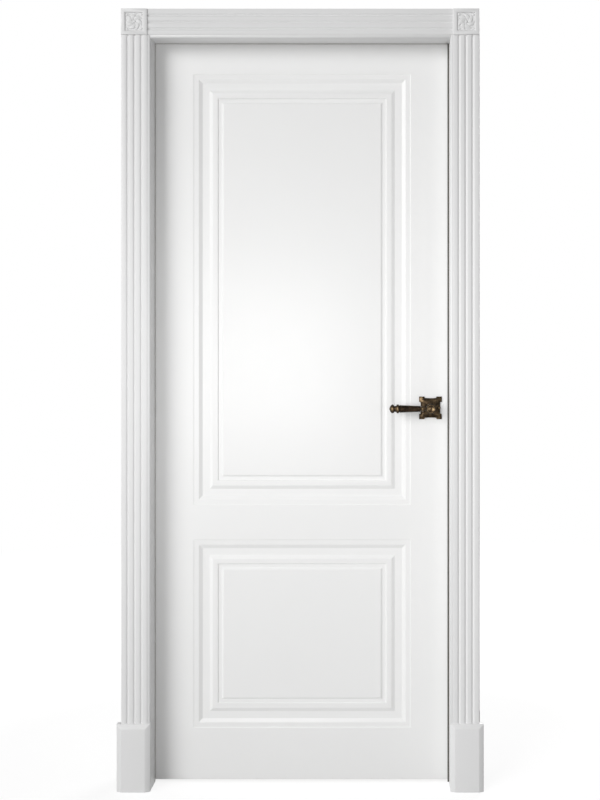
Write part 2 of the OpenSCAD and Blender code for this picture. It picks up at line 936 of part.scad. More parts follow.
module latch_case() {
  inner_t = case_t - 2 * case_wall;
  color(zinc) difference() {
    union() {
      difference() {
        translate([case_x0, case_y0, case_z0])
          cube([case_x1 - case_x0, case_t - case_wall, case_z1 - case_z0]);
        translate([case_x0 + case_wall, case_y0 + case_wall, case_z0 + case_wall])
          cube([case_x1 - case_x0 - 2 * case_wall, case_t, case_z1 - case_z0 - 2 * case_wall]);
      }
      translate([guide_x, case_y0, latch_z - 2 * stem_r]) cube([guide_t, case_wall + inner_t, 4 * stem_r]);
    }
    latch_hole_block();
    translate([guide_x - cut, leaf_mid, latch_z]) rotate([0, 90, 0])
      cylinder(r = stem_r + running, h = guide_t + 2 * cut);
    follower_bore();
  }
}

module follower_bore() {
  translate([handle_x, case_y0 - cut, handle_z]) rotate([-90, 0, 0])
    cylinder(r = journal_r + running, h = case_t + 2 * cut);
}

module latch_case_cover() {
  color(zinc) difference() {
    translate([case_x0, case_y1 - case_wall, case_z0])
      cube([case_x1 - case_x0, case_wall, case_z1 - case_z0]);
    follower_bore();
  }
}

module forend_block(extra) {
  translate([case_x1 - extra, leaf_mid - forend_w / 2 - extra, forend_mid_z - forend_h / 2 - extra])
    cube([forend_t + extra + (extra > 0 ? cut : 0), forend_w + 2 * extra, forend_h + 2 * extra]);
}

module each_forend_screw() {
  for (up = [-1, 1])
    translate([leaf_half, leaf_mid, forend_mid_z + up * forend_screw_rise]) rotate([0, -90, 0]) children();
}

module latch_forend() {
  color(zinc) difference() {
    forend_block(0);
    latch_hole_block();
    each_forend_screw() screw_seat(plate_screw_r, plate_screw_head_r, plate_screw_len);
  }
}

module forend_screws() {
  color(zinc) each_forend_screw() screw(plate_screw_r, plate_screw_head_r, plate_screw_len);
}

// Latch bolt: bevelled head, round stem, and the lug that the follower pulls
module latch_bolt() {
  tip_x = leaf_half + bolt_throw;
  y0 = leaf_mid - bolt_t / 2;
  color(zinc) {
    translate([0, 0, latch_z - bolt_h / 2]) linear_extrude(bolt_h) polygon([
      [bolt_back, y0], [leaf_half, y0], [tip_x, y0 + bolt_t - bolt_nose],
      [tip_x, y0 + bolt_t], [bolt_back, y0 + bolt_t]
    ]);
    translate([lug_x - lug_t, leaf_mid, latch_z]) rotate([0, 90, 0])
      cylinder(r = stem_r, h = bolt_back - lug_x + lug_t + stem_r);
    translate([lug_x - lug_t, leaf_mid - finger_t / 2, handle_z + lug_tip_rise])
      cube([lug_t, finger_t, latch_rise - lug_tip_rise]);
  }
}

// Coil along X between the guide and the bolt's head
module latch_spring() {
  n = spring_turns * spring_steps;
  m = spring_sides;
  x0 = guide_x + guide_t + spring_wire_r + loose;
  run = spring_len - 2 * (spring_wire_r + loose);
  function ring(i) = [for (k = [0:m - 1])
    let (turn = i * 360 / spring_steps, a = k * 360 / m, rr = spring_r + spring_wire_r * cos(a))
      [x0 + run * i / n + spring_wire_r * sin(a), leaf_mid + rr * cos(turn), latch_z + rr * sin(turn)]];
  points = [for (i = [0:n]) each ring(i)];
  walls = [for (i = [0:n - 1]) for (k = [0:m - 1])
    [i * m + k, i * m + (k + 1) % m, (i + 1) * m + (k + 1) % m, (i + 1) * m + k]];
  first = [for (k = [0:m - 1]) m - 1 - k];
  last = [for (k = [0:m - 1]) n * m + k];
  color(zinc) polyhedron(points, concat(walls, [first, last]));
}

module follower() {
  inner_t = case_t - 2 * case_wall - 2 * loose;
  color(zinc) translate([handle_x, leaf_mid, handle_z]) rotate([90, 0, 0]) difference() {
    union() {
      translate([0, 0, -case_t / 2]) cylinder(r = journal_r, h = case_t);
      translate([0, 0, -inner_t / 2]) cylinder(r = hub_r, h = inner_t);
      translate([-finger_r, 0, -finger_t / 2]) cube([2 * finger_r, finger_len, finger_t]);
      translate([0, finger_len, -finger_t / 2]) cylinder(r = finger_r, h = finger_t);
    }
    square_hole(case_t + 2 * cut);
  }
}

module square_hole(len) {
  side = spindle_w + 2 * snug;
  translate([-side / 2, -side / 2, -len / 2]) cube([side, side, len]);
}

// Strike

module strike_box_block(extra) {
  half_t = strike_hole_t / 2 + strike_box_wall;
  half_h = strike_hole_h / 2 + strike_box_wall;
  translate([rebate_half + strike_t - extra, leaf_mid - half_t - extra, latch_z - half_h - extra])
    cube([strike_box_depth + 2 * extra, 2 * (half_t + extra), 2 * (half_h + extra)]);
}

module strike_hole() {
  translate([rebate_half - cut, leaf_mid - strike_hole_t / 2, latch_z - strike_hole_h / 2])
    cube([strike_t + strike_box_depth - strike_box_wall + cut, strike_hole_t, strike_hole_h]);
}

module each_strike_screw() {
  for (up = [-1, 1])
    translate([rebate_half, leaf_mid, latch_z + up * strike_screw_rise]) rotate([0, 90, 0]) children();
}

module strike_plate() {
  color(zinc) difference() {
    translate([rebate_half, leaf_mid - strike_w / 2, latch_z - strike_h / 2])
      cube([strike_t, strike_w, strike_h]);
    strike_hole();
    each_strike_screw() screw_seat(plate_screw_r, plate_screw_head_r, plate_screw_len);
  }
}

module strike_box() {
  color(black_plastic) difference() {
    strike_box_block(0);
    strike_hole();
  }
}

module strike_screws() {
  color(zinc) each_strike_screw() screw(plate_screw_r, plate_screw_head_r, plate_screw_len);
}

// Handle

module each_rose_screw() {
  for (x = [-1, 1]) for (y = [-1, 1])
    translate([x * rose_screw_at, y * rose_screw_at, 0]) children();
}

// Outline of the rose: a square whose sides are hollowed between its corner ears
module rose_outline(inset) {
  half = rose_w / 2 - inset;
  hollow_w = rose_side_w + 2 * inset;
  difference() {
    square(2 * half, center = true);
    for (a = [0:90:270]) rotate(a) intersection() {
      translate([0, rose_w / 2 - rose_step + rose_hollow_r]) circle(r = rose_hollow_r + inset);
      translate([-hollow_w / 2, 0]) square([hollow_w, rose_w]);
    }
  }
}

module rose() {
  difference() {
    union() {
      linear_extrude(rose_t - rose_rim_bevel) rose_outline(0);
      linear_extrude(rose_t) rose_outline(rose_rim_bevel / 2);
      cylinder(r = rose_collar_r, h = rose_t + rose_collar_h);
    }
    difference() {
      translate([-rose_field_w / 2, -rose_field_w / 2, rose_t - rose_field_depth])
        cube([rose_field_w, rose_field_w, rose_field_depth + cut]);
      cylinder(r = rose_collar_r, h = rose_t + rose_collar_h + cut);
    }
    translate([-rose_plate_w / 2 - snug, -rose_plate_w / 2 - snug, -cut])
      cube([rose_plate_w + 2 * snug, rose_plate_w + 2 * snug, rose_plate_t + cut]);
    translate([0, 0, -cut]) cylinder(r = neck_r + running, h = rose_t + rose_collar_h + 2 * cut);
  }
}

module rose_plate() {
  difference() {
    translate([-rose_plate_w / 2, -rose_plate_w / 2, 0]) cube([rose_plate_w, rose_plate_w, rose_plate_t]);
    translate([0, 0, -cut]) cylinder(r = neck_r + 2 * loose, h = rose_plate_t + 2 * cut);
    each_rose_screw() translate([0, 0, rose_plate_t]) mirror([0, 0, 1])
      screw_seat(rose_screw_r, rose_screw_head_r, rose_screw_len);
  }
}

module rose_screw_set() {
  each_rose_screw() translate([0, 0, rose_plate_t]) mirror([0, 0, 1])
    screw(rose_screw_r, rose_screw_head_r, rose_screw_len);
}

// Rounded ring around the grip, as points of radius and place along it
function ring_arc(r, w, at) = [for (a = [-ring_turn:ring_turn / 3:ring_turn])
  [r - ring_round + ring_round * cos(a), at + w / 2 * sin(a) / sin(ring_turn)]];

// Turned arm and grip along +Z from the spindle to the tip, with the bead, the ring and the knob as arcs
module grip_turning() {
  knob_widest = knob_start + knob_shoulder;
  knob_back = [for (i = [0:knob_steps - 1]) let (a = knob_turn * (i / knob_steps - 1))
    [knob_r * cos(a), knob_widest + knob_shoulder * sin(a) / sin(knob_turn)]];
  knob_point = [for (i = [0:knob_steps]) let (s = sin(90 * i / knob_steps))
    [knob_r * pow(1 - s * s, knob_taper), knob_widest + (knob_len - knob_shoulder) * s]];
  rotate_extrude() polygon(concat(
    [[0, 0], [arm_r, 0], [arm_r, bead_at - bead_w / 2]],
    ring_arc(bead_r, bead_w, bead_at),
    [[arm_r, bead_end], [arm_r, grip_start], [grip_r_near, grip_start + grip_step], [grip_r_far, ring_start]],
    ring_arc(knob_r, ring_w, (ring_start + ring_end) / 2),
    [[knob_neck_r, ring_end + grip_step]],
    knob_back,
    knob_point
  ));
}

// Lever: neck out of the rose, round boss with a dished face, and the grip to the left
module lever() {
  boss_arc = [for (a = [0:boss_face_turn / 6:boss_face_turn])
    [boss_r * cos(a), lever_stand + boss_half * sin(a)]];
  boss_face = lever_stand + boss_half * sin(boss_face_turn);
  difference() {
    union() {
      rotate_extrude() polygon(concat(
        [[0, neck_end], [neck_r, neck_end], [neck_r, lever_stand - boss_half - neck_flare],
         [boss_r, lever_stand - boss_half]],
        boss_arc,
        [[0, boss_face]]
      ));
      translate([0, 0, lever_stand]) rotate([0, -90, 0]) grip_turning();
    }
    translate([0, 0, boss_face - boss_dish_depth]) cylinder(r = boss_dish_r, h = boss_dish_depth + cut);
    translate([0, 0, neck_end]) square_hole(2 * (spindle_reach + snug));
    translate([0, -neck_r - cut, grub_at]) rotate([-90, 0, 0])
      cylinder(r = grub_r + running, h = neck_r + cut);
  }
}

module grub_screw() {
  socket_r = grub_r / 2;
  translate([0, -neck_r + grub_sink, grub_at]) rotate([-90, 0, 0]) difference() {
    cylinder(r = grub_r, h = neck_r - grub_sink - spindle_w / 2);
    translate([0, 0, -cut]) cylinder(r = socket_r, h = cut + grub_r, $fn = 6);
  }
}

module front_rose() {
  color(bronze) at_handle() rose();
}

module back_rose() {
  color(bronze) at_leaf_back() at_handle() rose();
}

module front_rose_plate() {
  color(zinc) at_handle() rose_plate();
}

module back_rose_plate() {
  color(zinc) at_leaf_back() at_handle() rose_plate();
}

module rose_screws() {
  color(zinc) {
    at_handle() rose_screw_set();
    at_leaf_back() at_handle() rose_screw_set();
  }
}

module front_lever() {
  color(bronze) at_handle() lever();
}

module back_lever() {
  color(bronze) at_leaf_back() at_handle() lever();
}

module spindle() {
  len = leaf_t + 2 * spindle_reach;
  color(zinc) translate([handle_x - spindle_w / 2, leaf_mid - len / 2, handle_z - spindle_w / 2])
    cube([spindle_w, len, spindle_w]);
}

module lever_grub_screws() {
  color(zinc) {
    at_handle() grub_screw();
    at_leaf_back() at_handle() grub_screw();
  }
}

hinge_jamb();
lock_jamb();
head_jamb();
jamb_corner_screws();
hinge_side_seal();
lock_side_seal();
head_seal();
front_left_casing();
front_right_casing();
front_head_casing();
back_left_casing();
back_right_casing();
back_head_casing();
front_left_corner_block();
front_right_corner_block();
back_left_corner_block();
back_right_corner_block();
front_left_plinth();
front_right_plinth();
back_left_plinth();
back_right_plinth();
strike_plate();
strike_box();
strike_screws();
lower_hinge_frame_leaf();
middle_hinge_frame_leaf();
upper_hinge_frame_leaf();
lower_hinge_pin();
middle_hinge_pin();
upper_hinge_pin();
hinge_frame_screws();
lower_hinge_door_leaf();
middle_hinge_door_leaf();
upper_hinge_door_leaf();
hinge_door_screws();
front_skin();
back_skin();
hinge_stile();
lock_stile();
top_rail();
lock_rail();
bottom_rail();
upper_core();
lower_core();
latch_case();
latch_case_cover();
latch_forend();
forend_screws();
latch_spring();
front_rose();
back_rose();
front_rose_plate();
back_rose_plate();
rose_screws();
front_lever();
back_lever();
spindle();
follower();
lever_grub_screws();
latch_bolt();
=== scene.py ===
"""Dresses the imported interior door: lacquered mouldings, carved blocks, bronze levers and a white studio."""
import json
import math

import bmesh
import bpy
from mathutils import Matrix, Vector


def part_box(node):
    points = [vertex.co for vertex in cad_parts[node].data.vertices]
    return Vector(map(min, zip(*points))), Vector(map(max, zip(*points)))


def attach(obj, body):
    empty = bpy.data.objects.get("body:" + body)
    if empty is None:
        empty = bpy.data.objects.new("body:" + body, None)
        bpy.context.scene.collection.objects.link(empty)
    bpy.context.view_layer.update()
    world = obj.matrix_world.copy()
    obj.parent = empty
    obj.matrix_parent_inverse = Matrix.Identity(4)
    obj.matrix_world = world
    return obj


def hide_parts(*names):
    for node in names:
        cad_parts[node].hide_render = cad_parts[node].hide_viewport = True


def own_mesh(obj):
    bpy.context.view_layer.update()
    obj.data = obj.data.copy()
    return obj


bl_info = {
    "name": "Panelled Interior Door",
    "version": (1, 0, 0),
    "blender": (4, 5, 0),
    "location": "3D View > Sidebar > Door",
    "description": "Models the visible pieces of an interior door around its packed frame",
    "category": "Object",
}

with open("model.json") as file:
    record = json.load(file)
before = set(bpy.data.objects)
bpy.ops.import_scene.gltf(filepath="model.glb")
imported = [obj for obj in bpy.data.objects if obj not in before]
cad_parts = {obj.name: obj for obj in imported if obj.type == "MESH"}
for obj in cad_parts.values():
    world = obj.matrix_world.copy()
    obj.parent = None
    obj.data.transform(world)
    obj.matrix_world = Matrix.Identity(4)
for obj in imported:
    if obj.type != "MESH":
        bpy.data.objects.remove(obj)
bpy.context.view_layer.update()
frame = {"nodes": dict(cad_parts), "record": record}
BODIES = frame["record"]["behaviour"]["bodies"].items()
BODY_OF = {node: body for body, nodes in BODIES for node in nodes}
SLOT_OF = {part["node"]: part["material_slot"] for part in frame["record"]["subparts"]}
MM = 0.001
ACROSS, UP = 0, 2
OUT = Vector((0, -1, 0))
WHITE = (1, 1, 1, 1)
SIDES = ("front", "back")
HANDS = ("left", "right")
HINGES = ("lower", "middle", "upper")
FINISHES = {}


# Settings

def setting(kind, **more):
    """A kind of setting, which is given its name, description and default"""
    def give(name, description, default):
        return kind(name=name, description=description, default=default, **more)

    return give


length = setting(bpy.props.FloatProperty, unit="LENGTH")
pair = setting(bpy.props.FloatVectorProperty, size=2, unit="LENGTH")
place_at = setting(bpy.props.FloatVectorProperty, subtype="TRANSLATION")
colour = setting(bpy.props.FloatVectorProperty, subtype="COLOR")
watts = setting(bpy.props.FloatProperty, unit="POWER")
spread = setting(bpy.props.FloatProperty, subtype="ANGLE")
level = setting(bpy.props.FloatProperty)
whole = setting(bpy.props.IntProperty)
fine_length = setting(bpy.props.FloatProperty, unit="LENGTH", precision=6)
pixel = setting(bpy.props.FloatVectorProperty, size=2)
whole_pair = setting(bpy.props.IntVectorProperty, size=2)


class DoorMoulding(bpy.types.PropertyGroup):
    """Sizes of the routed panels, from the moulding's outer edge to the field"""
    stile: length("Stile", "Leaf edge to moulding at the sides", 0.114)
    top_rail: length("Top rail", "Leaf edge to moulding at the top", 0.092)
    lock_rail: length("Lock rail", "Flat band between the panels", 0.095)
    bottom_rail: length("Bottom rail", "Leaf edge to moulding at the bottom", 0.142)
    lower_panel: length("Lower panel", "Height of the lower panel", 0.517)
    outer_step: pair("Outer step", "Width and depth of the outer step", (0.002, 0.001))
    outer_flat: pair("Outer flat", "Width and depth of the outer flat", (0.012, 0.001))
    slope_in: pair("Slope in", "Width and end depth of the slope in", (0.0105, 0.0065))
    channel: pair("Channel", "Width and depth of the channel", (0.019, 0.0065))
    slope_out: pair("Slope out", "Width and end depth of the slope out", (0.0095, 0.0015))
    raised: pair("Raised flat", "Width and depth of the raised flat", (0.0135, 0.0015))
    quirk_drop: pair("Quirk drop", "Width and end depth of the quirk's drop", (0.002, 0.004))
    quirk: pair("Quirk", "Width and depth of the quirk", (0.009, 0.004))
    field_rise: pair("Field rise", "Width and end depth of the rise to the field", (0.005, 0.001))
    softness: length("Softness", "Rounding of the routed edges", 0.0006)
    arris: length("Arris", "Rounding of the leaf's outer edges", 0.0014)


class DoorTrim(bpy.types.PropertyGroup):
    """Sizes of the casings, corner blocks and plinth blocks"""
    groove_first: length("First groove", "Outer edge to the first groove", 0.017)
    groove_pitch: length("Groove spacing", "Spacing of the grooves", 0.0185)
    groove_width: length("Groove width", "Width of a groove", 0.0085)
    groove_depth: length("Groove depth", "Depth of a groove", 0.0035)
    grooves: whole("Grooves", "Grooves in a casing", 3)
    softness: length("Softness", "Rounding of the trim's edges", 0.0008)
    block_border: length("Block border", "Width of a corner block's border", 0.010)
    block_field: pair("Block field", "Slope's width and depth of a corner block's field", (0.0015, 0.004))
    whorl_leaves: whole("Whorl leaves", "Leaves in a corner block's whorl", 7)
    plinth_bevel: pair("Plinth bevel", "Width and depth of the plinth's bevel", (0.013, 0.006))
    jamb_arris: length("Jamb arris", "Rounding of the jambs' edges", 0.001)
    plate_arris: length("Plate arris", "Rounding of the steel plates' edges", 0.0003)
    pin_arris: length("Pin arris", "Rounding of the hinge pins' ends", 0.0006)


class DoorHandle(bpy.types.PropertyGroup):
    """Sizes of the lever and its rose, measured from the leaf's face and the spindle"""
    rose_half: length("Rose half width", "Spindle to the rose's ears", 0.031)
    rose_thick: length("Rose thickness", "Thickness of the rose", 0.008)
    ear: length("Ear", "Width of the rose's ears", 0.014)
    side_step: length("Side step", "How far the rose's sides step in", 0.0045)
    side_notch: length("Side notch", "Depth of the notch beside an ear", 0.0036)
    collar_height: length("Collar height", "Height of the rose's collar", 0.003)
    neck_radius: length("Neck radius", "Radius of the lever's neck", 0.009)
    boss_radius: length("Boss radius", "Radius of the lever's front boss", 0.0135)
    boss_half: length("Boss half height", "Half height of the boss", 0.008)
    stand: length("Lever stand", "Leaf's face to the grip's axis", 0.047)
    lever_length: length("Lever length", "Spindle to the lever's tip", 0.113)
    arm_radius: length("Arm radius", "Radius of the arm between the boss and the grip", 0.0044)
    bead_place: length("Bead", "Spindle to the middle of the arm's bead", 0.0225)
    bead_radius: length("Bead radius", "Radius of the arm's bead", 0.0076)
    bead_width: length("Bead width", "Width of the arm's bead", 0.006)
    arm_groove: length("Arm groove", "Bead to the start of the grip", 0.0025)
    grip_near: length("Grip near", "Radius of the grip at its start", 0.008)
    grip_far: length("Grip far", "Radius of the grip by the ring", 0.0102)
    ring_width: length("Ring width", "Width of the ring", 0.007)
    knob_radius: length("Knob radius", "Radius of the ring and end knob", 0.012)
    knob_length: length("Knob length", "Length of the end knob", 0.014)
    knob_shoulder: length("Knob shoulder", "Knob's neck to its widest point", 0.005)
    knob_neck: pair("Knob neck", "Length and radius of the neck before the knob", (0.0055, 0.0082))
    grub_place: length("Grub screw", "Leaf's face to the grub screw", 0.018)
    grub_radius: length("Grub hole", "Radius of the grub screw's hole", 0.00255)


class DoorFinish(bpy.types.PropertyGroup):
    """Colours of the finishes"""
    leaf_white: colour("Leaf lacquer", "Lacquer of the leaf", (0.90, 0.90, 0.895))
    frame_white: colour("Frame lacquer", "Lacquer of the frame", (0.80, 0.80, 0.80))
    bronze_dark: colour("Bronze patina", "Dark patina of the handle", (0.014, 0.010, 0.007))
    bronze_brown: colour("Bronze brown", "Thin patina of the handle", (0.070, 0.046, 0.027))
    bronze_rubbed: colour("Rubbed bronze", "Metal rubbed bright", (0.34, 0.24, 0.13))
    seal_brown: colour("Seal", "Soft seal strip", (0.30, 0.28, 0.25))
    # Painted shadow: the darker tone of the seal beside the lock stands in for the shadow of the gap there
    seal_gap_shadow: colour("Soiled seal", "Seal strip on the lock side", (0.07, 0.063, 0.055))
    zinc: colour("Zinc", "Plated steel of the hinges and the latch", (0.55, 0.56, 0.58))
    box_black: colour("Strike box", "Plastic of the strike box", (0.02, 0.02, 0.022))
    pine_light: colour("Pine", "Pine between its grain lines", (0.72, 0.52, 0.30))
    pine_dark: colour("Pine grain", "Grain lines of the pine", (0.50, 0.32, 0.15))
    chips_light: colour("Chips", "Light chips of the core", (0.60, 0.46, 0.29))
    chips_dark: colour("Dark chips", "Dark chips of the core", (0.36, 0.25, 0.14))


class DoorStage(bpy.types.PropertyGroup):
    """Camera and lamps"""
    camera_place: place_at("Camera", "Camera's place", (0.24, -3.466, 1.25))
    pixel_size: fine_length("Pixel size", "Size of a pixel at the casing's face", 0.002689)
    axis_pixel: pixel("Origin pixel", "Pixel of the middle of the opening at floor level", (300.2, 791.5))
    frame_pixels: whole_pair("Frame", "Width and height of the picture", (600, 800))
    key_light: level("Key", "Strength of the wide soft light from the left", 1.84)
    key_softness: spread("Key softness", "Width of the key light seen from the door", 0.65)
    glow_power: watts("Glow", "Power of the lamp before the leaf", 5.6)
    strip_power: watts("Strip", "Power of the narrow lamp at the right", 0.9)
    back_power: watts("Back", "Power of the lamp behind the door", 85.0)
    sky: level("Surround", "Strength of the white surround", 0.145)


SETTINGS = {
    "door_moulding": DoorMoulding,
    "door_trim": DoorTrim,
    "door_handle": DoorHandle,
    "door_finish": DoorFinish,
    "door_stage": DoorStage,
}


# Modelling helpers

def deselect():
    """Leaves edit mode and selects nothing"""
    if bpy.context.mode != "OBJECT":
        bpy.ops.object.mode_set(mode="OBJECT")
    bpy.ops.object.select_all(action="DESELECT")


def activate(obj):
    """Makes one object the only selected and active one"""
    deselect()
    obj.select_set(True)
    bpy.context.view_layer.objects.active = obj


def edit(obj):
    """Enters edit mode with all of one object selected"""
    activate(obj)
    bpy.ops.object.mode_set(mode="EDIT")
    bpy.ops.mesh.select_all(action="SELECT")


def added(name, primitive, **options):
    """Adds a primitive under a name, with nothing else selected"""
    deselect()
    primitive(**options)
    bpy.context.object.name = name
    return bpy.context.object


def settle():
    """Takes the active object's place and size into its mesh and enters edit mode"""
    bpy.ops.object.transform_apply(location=True, rotation=True, scale=True)
    bpy.ops.object.mode_set(mode="EDIT")


def start_box(name, low, high):
    """Adds a box at its size and place and enters edit mode"""
    low, high = Vector(low), Vector(high)
    obj = added(name, bpy.ops.mesh.primitive_cube_add, size=1, location=(low + high) / 2)
    obj.scale = high - low
    settle()
    return obj


def pick(obj, kind, test):
    """Selects the faces, edges or vertices that pass a test, and returns how many"""
    bpy.ops.mesh.select_mode(type=kind)
    bpy.ops.mesh.select_all(action="DESELECT")
    mesh = bmesh.from_edit_mesh(obj.data)
    items = {"FACE": mesh.faces, "EDGE": mesh.edges, "VERT": mesh.verts}[kind]
    chosen = [item for item in items if test(item)]
    for item in chosen:
        item.select_set(True)
    mesh.select_flush_mode()
    bmesh.update_edit_mesh(obj.data)
    return len(chosen)


def cut_across(axis, places):
    """Cuts the whole mesh by planes across an axis"""
    normal = Vector((0, 0, 0))
    normal[axis] = 1
    for place in places:
        bpy.ops.mesh.select_all(action="SELECT")
        bpy.ops.mesh.bisect(plane_co=normal * place, plane_no=normal)


def near(a, b, slack=1e-5):
    """True if two places are the same"""
    return abs(a - b) < slack


def edge_along(edge, axis):
    """True if an edge runs along an axis"""
    way = (edge.verts[1].co - edge.verts[0].co).normalized()
    return abs(way[axis]) > 0.999


def is_sharp(edge, angle=0.2):
    """True if the faces beside an edge bend by more than an angle"""
    return edge.calc_face_angle(0) > angle


def soften_edges(obj, test, width, segments):
    """Rounds the edges that pass a test"""
    if pick(obj, "EDGE", test):
        bpy.ops.mesh.bevel(
            offset=width, offset_type="OFFSET", segments=segments, affect="EDGES", clamp_overlap=True)


def merge_doubles():
    """Merges doubles all over the mesh"""
    bpy.ops.mesh.select_all(action="SELECT")
    bpy.ops.mesh.remove_doubles(threshold=1e-6)


def close_mesh():
    """Merges doubles and turns all faces outwards"""
    merge_doubles()
    bpy.ops.mesh.normals_make_consistent(inside=False)


def coat(obj, node):
    """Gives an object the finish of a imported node"""
    obj.data.materials.clear()
    obj.data.materials.append(FINISHES[SLOT_OF[node]])


def finish_piece(obj, node, angle=35):
    """Shades a piece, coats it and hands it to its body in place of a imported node"""
    activate(obj)
    bpy.ops.object.shade_smooth_by_angle(angle=math.radians(angle))
    coat(obj, node)
    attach(obj, BODY_OF[node])
    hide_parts(node)


def in_mm(points, along=0.0, radius=0.0):
    """Points of a section given in millimetres from a start"""
    return [(along + a * MM, radius + r * MM) for a, r in points]


def rounded(points, radius, segments=3):
    """A section with its corners rounded"""
    line = [Vector(p) for p in points]
    most = 0.45
    result = [line[0]]
    for before, corner, after in zip(line, line[1:], line[2:]):
        ways = (before - corner, after - corner)
        first, last = [corner + way.normalized() * min(radius, way.length * most) for way in ways]
        for i in range(segments + 1):
            t = i / segments
            result.append(first * (1 - t) ** 2 + corner * 2 * t * (1 - t) + last * t ** 2)
    result.append(line[-1])
    return result


def turned(name, profile, centre, axis, steps=56):
    """Spins a profile of (distance along the axis, radius) points about an axis through a centre"""
    axis = Vector(axis).normalized()
    side = axis.orthogonal().normalized()
    path = [Vector(centre) + axis * along + side * radius for along, radius in profile]
    obj = added(name, bpy.ops.mesh.primitive_plane_add, size=MM, location=path[0])
    settle()
    bpy.ops.mesh.select_mode(type="VERT")
    bpy.ops.mesh.select_all(action="SELECT")
    bpy.ops.mesh.merge(type="CENTER")
    for here, there in zip(path, path[1:]):
        bpy.ops.mesh.extrude_region_move(TRANSFORM_OT_translate={"value": there - here})
    bpy.ops.mesh.select_all(action="SELECT")
    bpy.ops.mesh.spin(steps=steps, angle=2 * math.pi, center=centre, axis=axis)
    close_mesh()
    return obj


def join(obj, others):
    """Joins other objects to the first"""
    activate(obj)
    for other in others:
        other.select_set(True)
    bpy.ops.object.join()


def combine(obj, other, operation):
    """Joins another closed piece to the first as one body, or cuts it out of the first"""
    activate(obj)
    tool = obj.modifiers.new("combine", "BOOLEAN")
    tool.operation = operation
    tool.solver = "EXACT"
    tool.object = other
    bpy.ops.object.modifier_apply(modifier=tool.name)
    bpy.data.objects.remove(other, do_unlink=True)


def bend_at(vertex):
    """The sharpest outward bend at a point, as an angle over the width of the faces beside it"""
    least_length, least_width = 1e-6, 1e-4
    bend = 0.0
    for edge in vertex.link_edges:
        if len(edge.link_faces) == 2:
            widths = [f.calc_area() / max(edge.calc_length(), least_length) for f in edge.link_faces]
            bend = max(bend, edge.calc_face_angle_signed(0) / max(sum(widths) / 2, least_width))
    return bend


def mark_wear_and_sheen(obj, flat, sharp, touch_and_sheen):
    """Stores how far hands have rubbed each point, by its bend from flat to sharp or by touch, together with
    any painted highlight that the touch function gives
    """
    mesh = bmesh.new()
    mesh.from_mesh(obj.data)
    rubbed = [max(min((bend_at(v) - flat) / (sharp - flat), 1), touch_and_sheen(v.co)) for v in mesh.verts]
    even = []
    for v in mesh.verts:
        around = [rubbed[e.other_vert(v).index] for e in v.link_edges]
        even.append((rubbed[v.index] + sum(around) / max(len(around), 1)) / 2)
    mesh.free()
    wear_and_sheen = obj.data.attributes.new("wear_and_sheen", "FLOAT", "POINT")
    wear_and_sheen.data.foreach_set("value", even)


def copy_piece(obj, name, matrix=Matrix.Identity(4)):
    """A copy with its own mesh, moved in its mesh"""
    twin = obj.copy()
    twin.data = obj.data.copy()
    twin.name = name
    twin.parent = None
    bpy.context.collection.objects.link(twin)
    twin.data.transform(matrix)
    if matrix.determinant() < 0:
        edit(twin)
        bpy.ops.mesh.flip_normals()
        bpy.ops.object.mode_set(mode="OBJECT")
    return twin


def flip_through(y):
    """Mirror through the plane at a depth y"""
    return Matrix.Translation((0, 2 * y, 0)) @ Matrix.Diagonal((1, -1, 1, 1))


def middle_of(node):
    """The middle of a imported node's box"""
    low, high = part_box(node)
    return (low + high) / 2


# Shader helpers

# A colour Mix node's sockets, which share their names with those of its other kinds
MIX_SHARE, MIX_UNDER, MIX_OVER, MIX_RESULT = 0, 6, 7, 2


def feed(tree, node, inputs):
    """Gives a node's inputs their values, or the outputs that feed them"""
    for socket, value in inputs.items():
        if isinstance(value, bpy.types.NodeSocket):
            tree.links.new(value, node.inputs[socket])
        else:
            node.inputs[socket].default_value = value
    return node


def add_node(tree, kind, inputs, **options):
    """Adds a shader node with its options and inputs"""
    node = tree.nodes.new(f"ShaderNode{kind}")
    for option, value in options.items():
        setattr(node, option, value)
    return feed(tree, node, inputs)


def maths(tree, operation, *terms, **options):
    """The result of an operation on values or outputs"""
    return add_node(tree, "Math", dict(enumerate(terms)), operation=operation, **options).outputs[0]


def remap(tree, value, to, start=(0.0, 1.0)):
    """A value moved from one range to another"""
    ends = {"From Min": start[0], "From Max": start[1], "To Min": to[0], "To Max": to[1]}
    return add_node(tree, "MapRange", {"Value": value, **ends}).outputs["Result"]


def object_place(tree):
    """The place of a point on its piece"""
    return add_node(tree, "TexCoord", {}).outputs["Object"]


def noise(tree, place, scale, detail, **more):
    """A cloudy value over the surface"""
    inputs = {"Vector": place, "Scale": scale, "Detail": detail, **more}
    return add_node(tree, "TexNoise", inputs).outputs["Fac"]


def two_tone(tree, value, first, second, span=(0.0, 1.0)):
    """A colour between two, by a value over a span"""
    ramp = add_node(tree, "ValToRGB", {"Fac": value})
    for stop, place, tone in zip(ramp.color_ramp.elements, span, (first, second)):
        stop.position = place
        stop.color = (*tone, 1)
    return ramp.outputs["Color"]


def laid_over(tree, share, under, over):
    """A colour laid over another by a share"""
    inputs = {MIX_SHARE: share, MIX_UNDER: under, MIX_OVER: (*over, 1)}
    return add_node(tree, "Mix", inputs, data_type="RGBA").outputs[MIX_RESULT]


def bumped(tree, height, strength, distance):
    """A normal bent by a height"""
    inputs = {"Height": height, "Strength": strength, "Distance": distance}
    return add_node(tree, "Bump", inputs).outputs["Normal"]


def new_material(name):
    """Keeps a new material under its name, and returns its node tree and shader"""
    FINISHES[name] = bpy.data.materials.new(name)
    FINISHES[name].use_nodes = True
    tree = FINISHES[name].node_tree
    return tree, tree.nodes["Principled BSDF"]


# Finishes

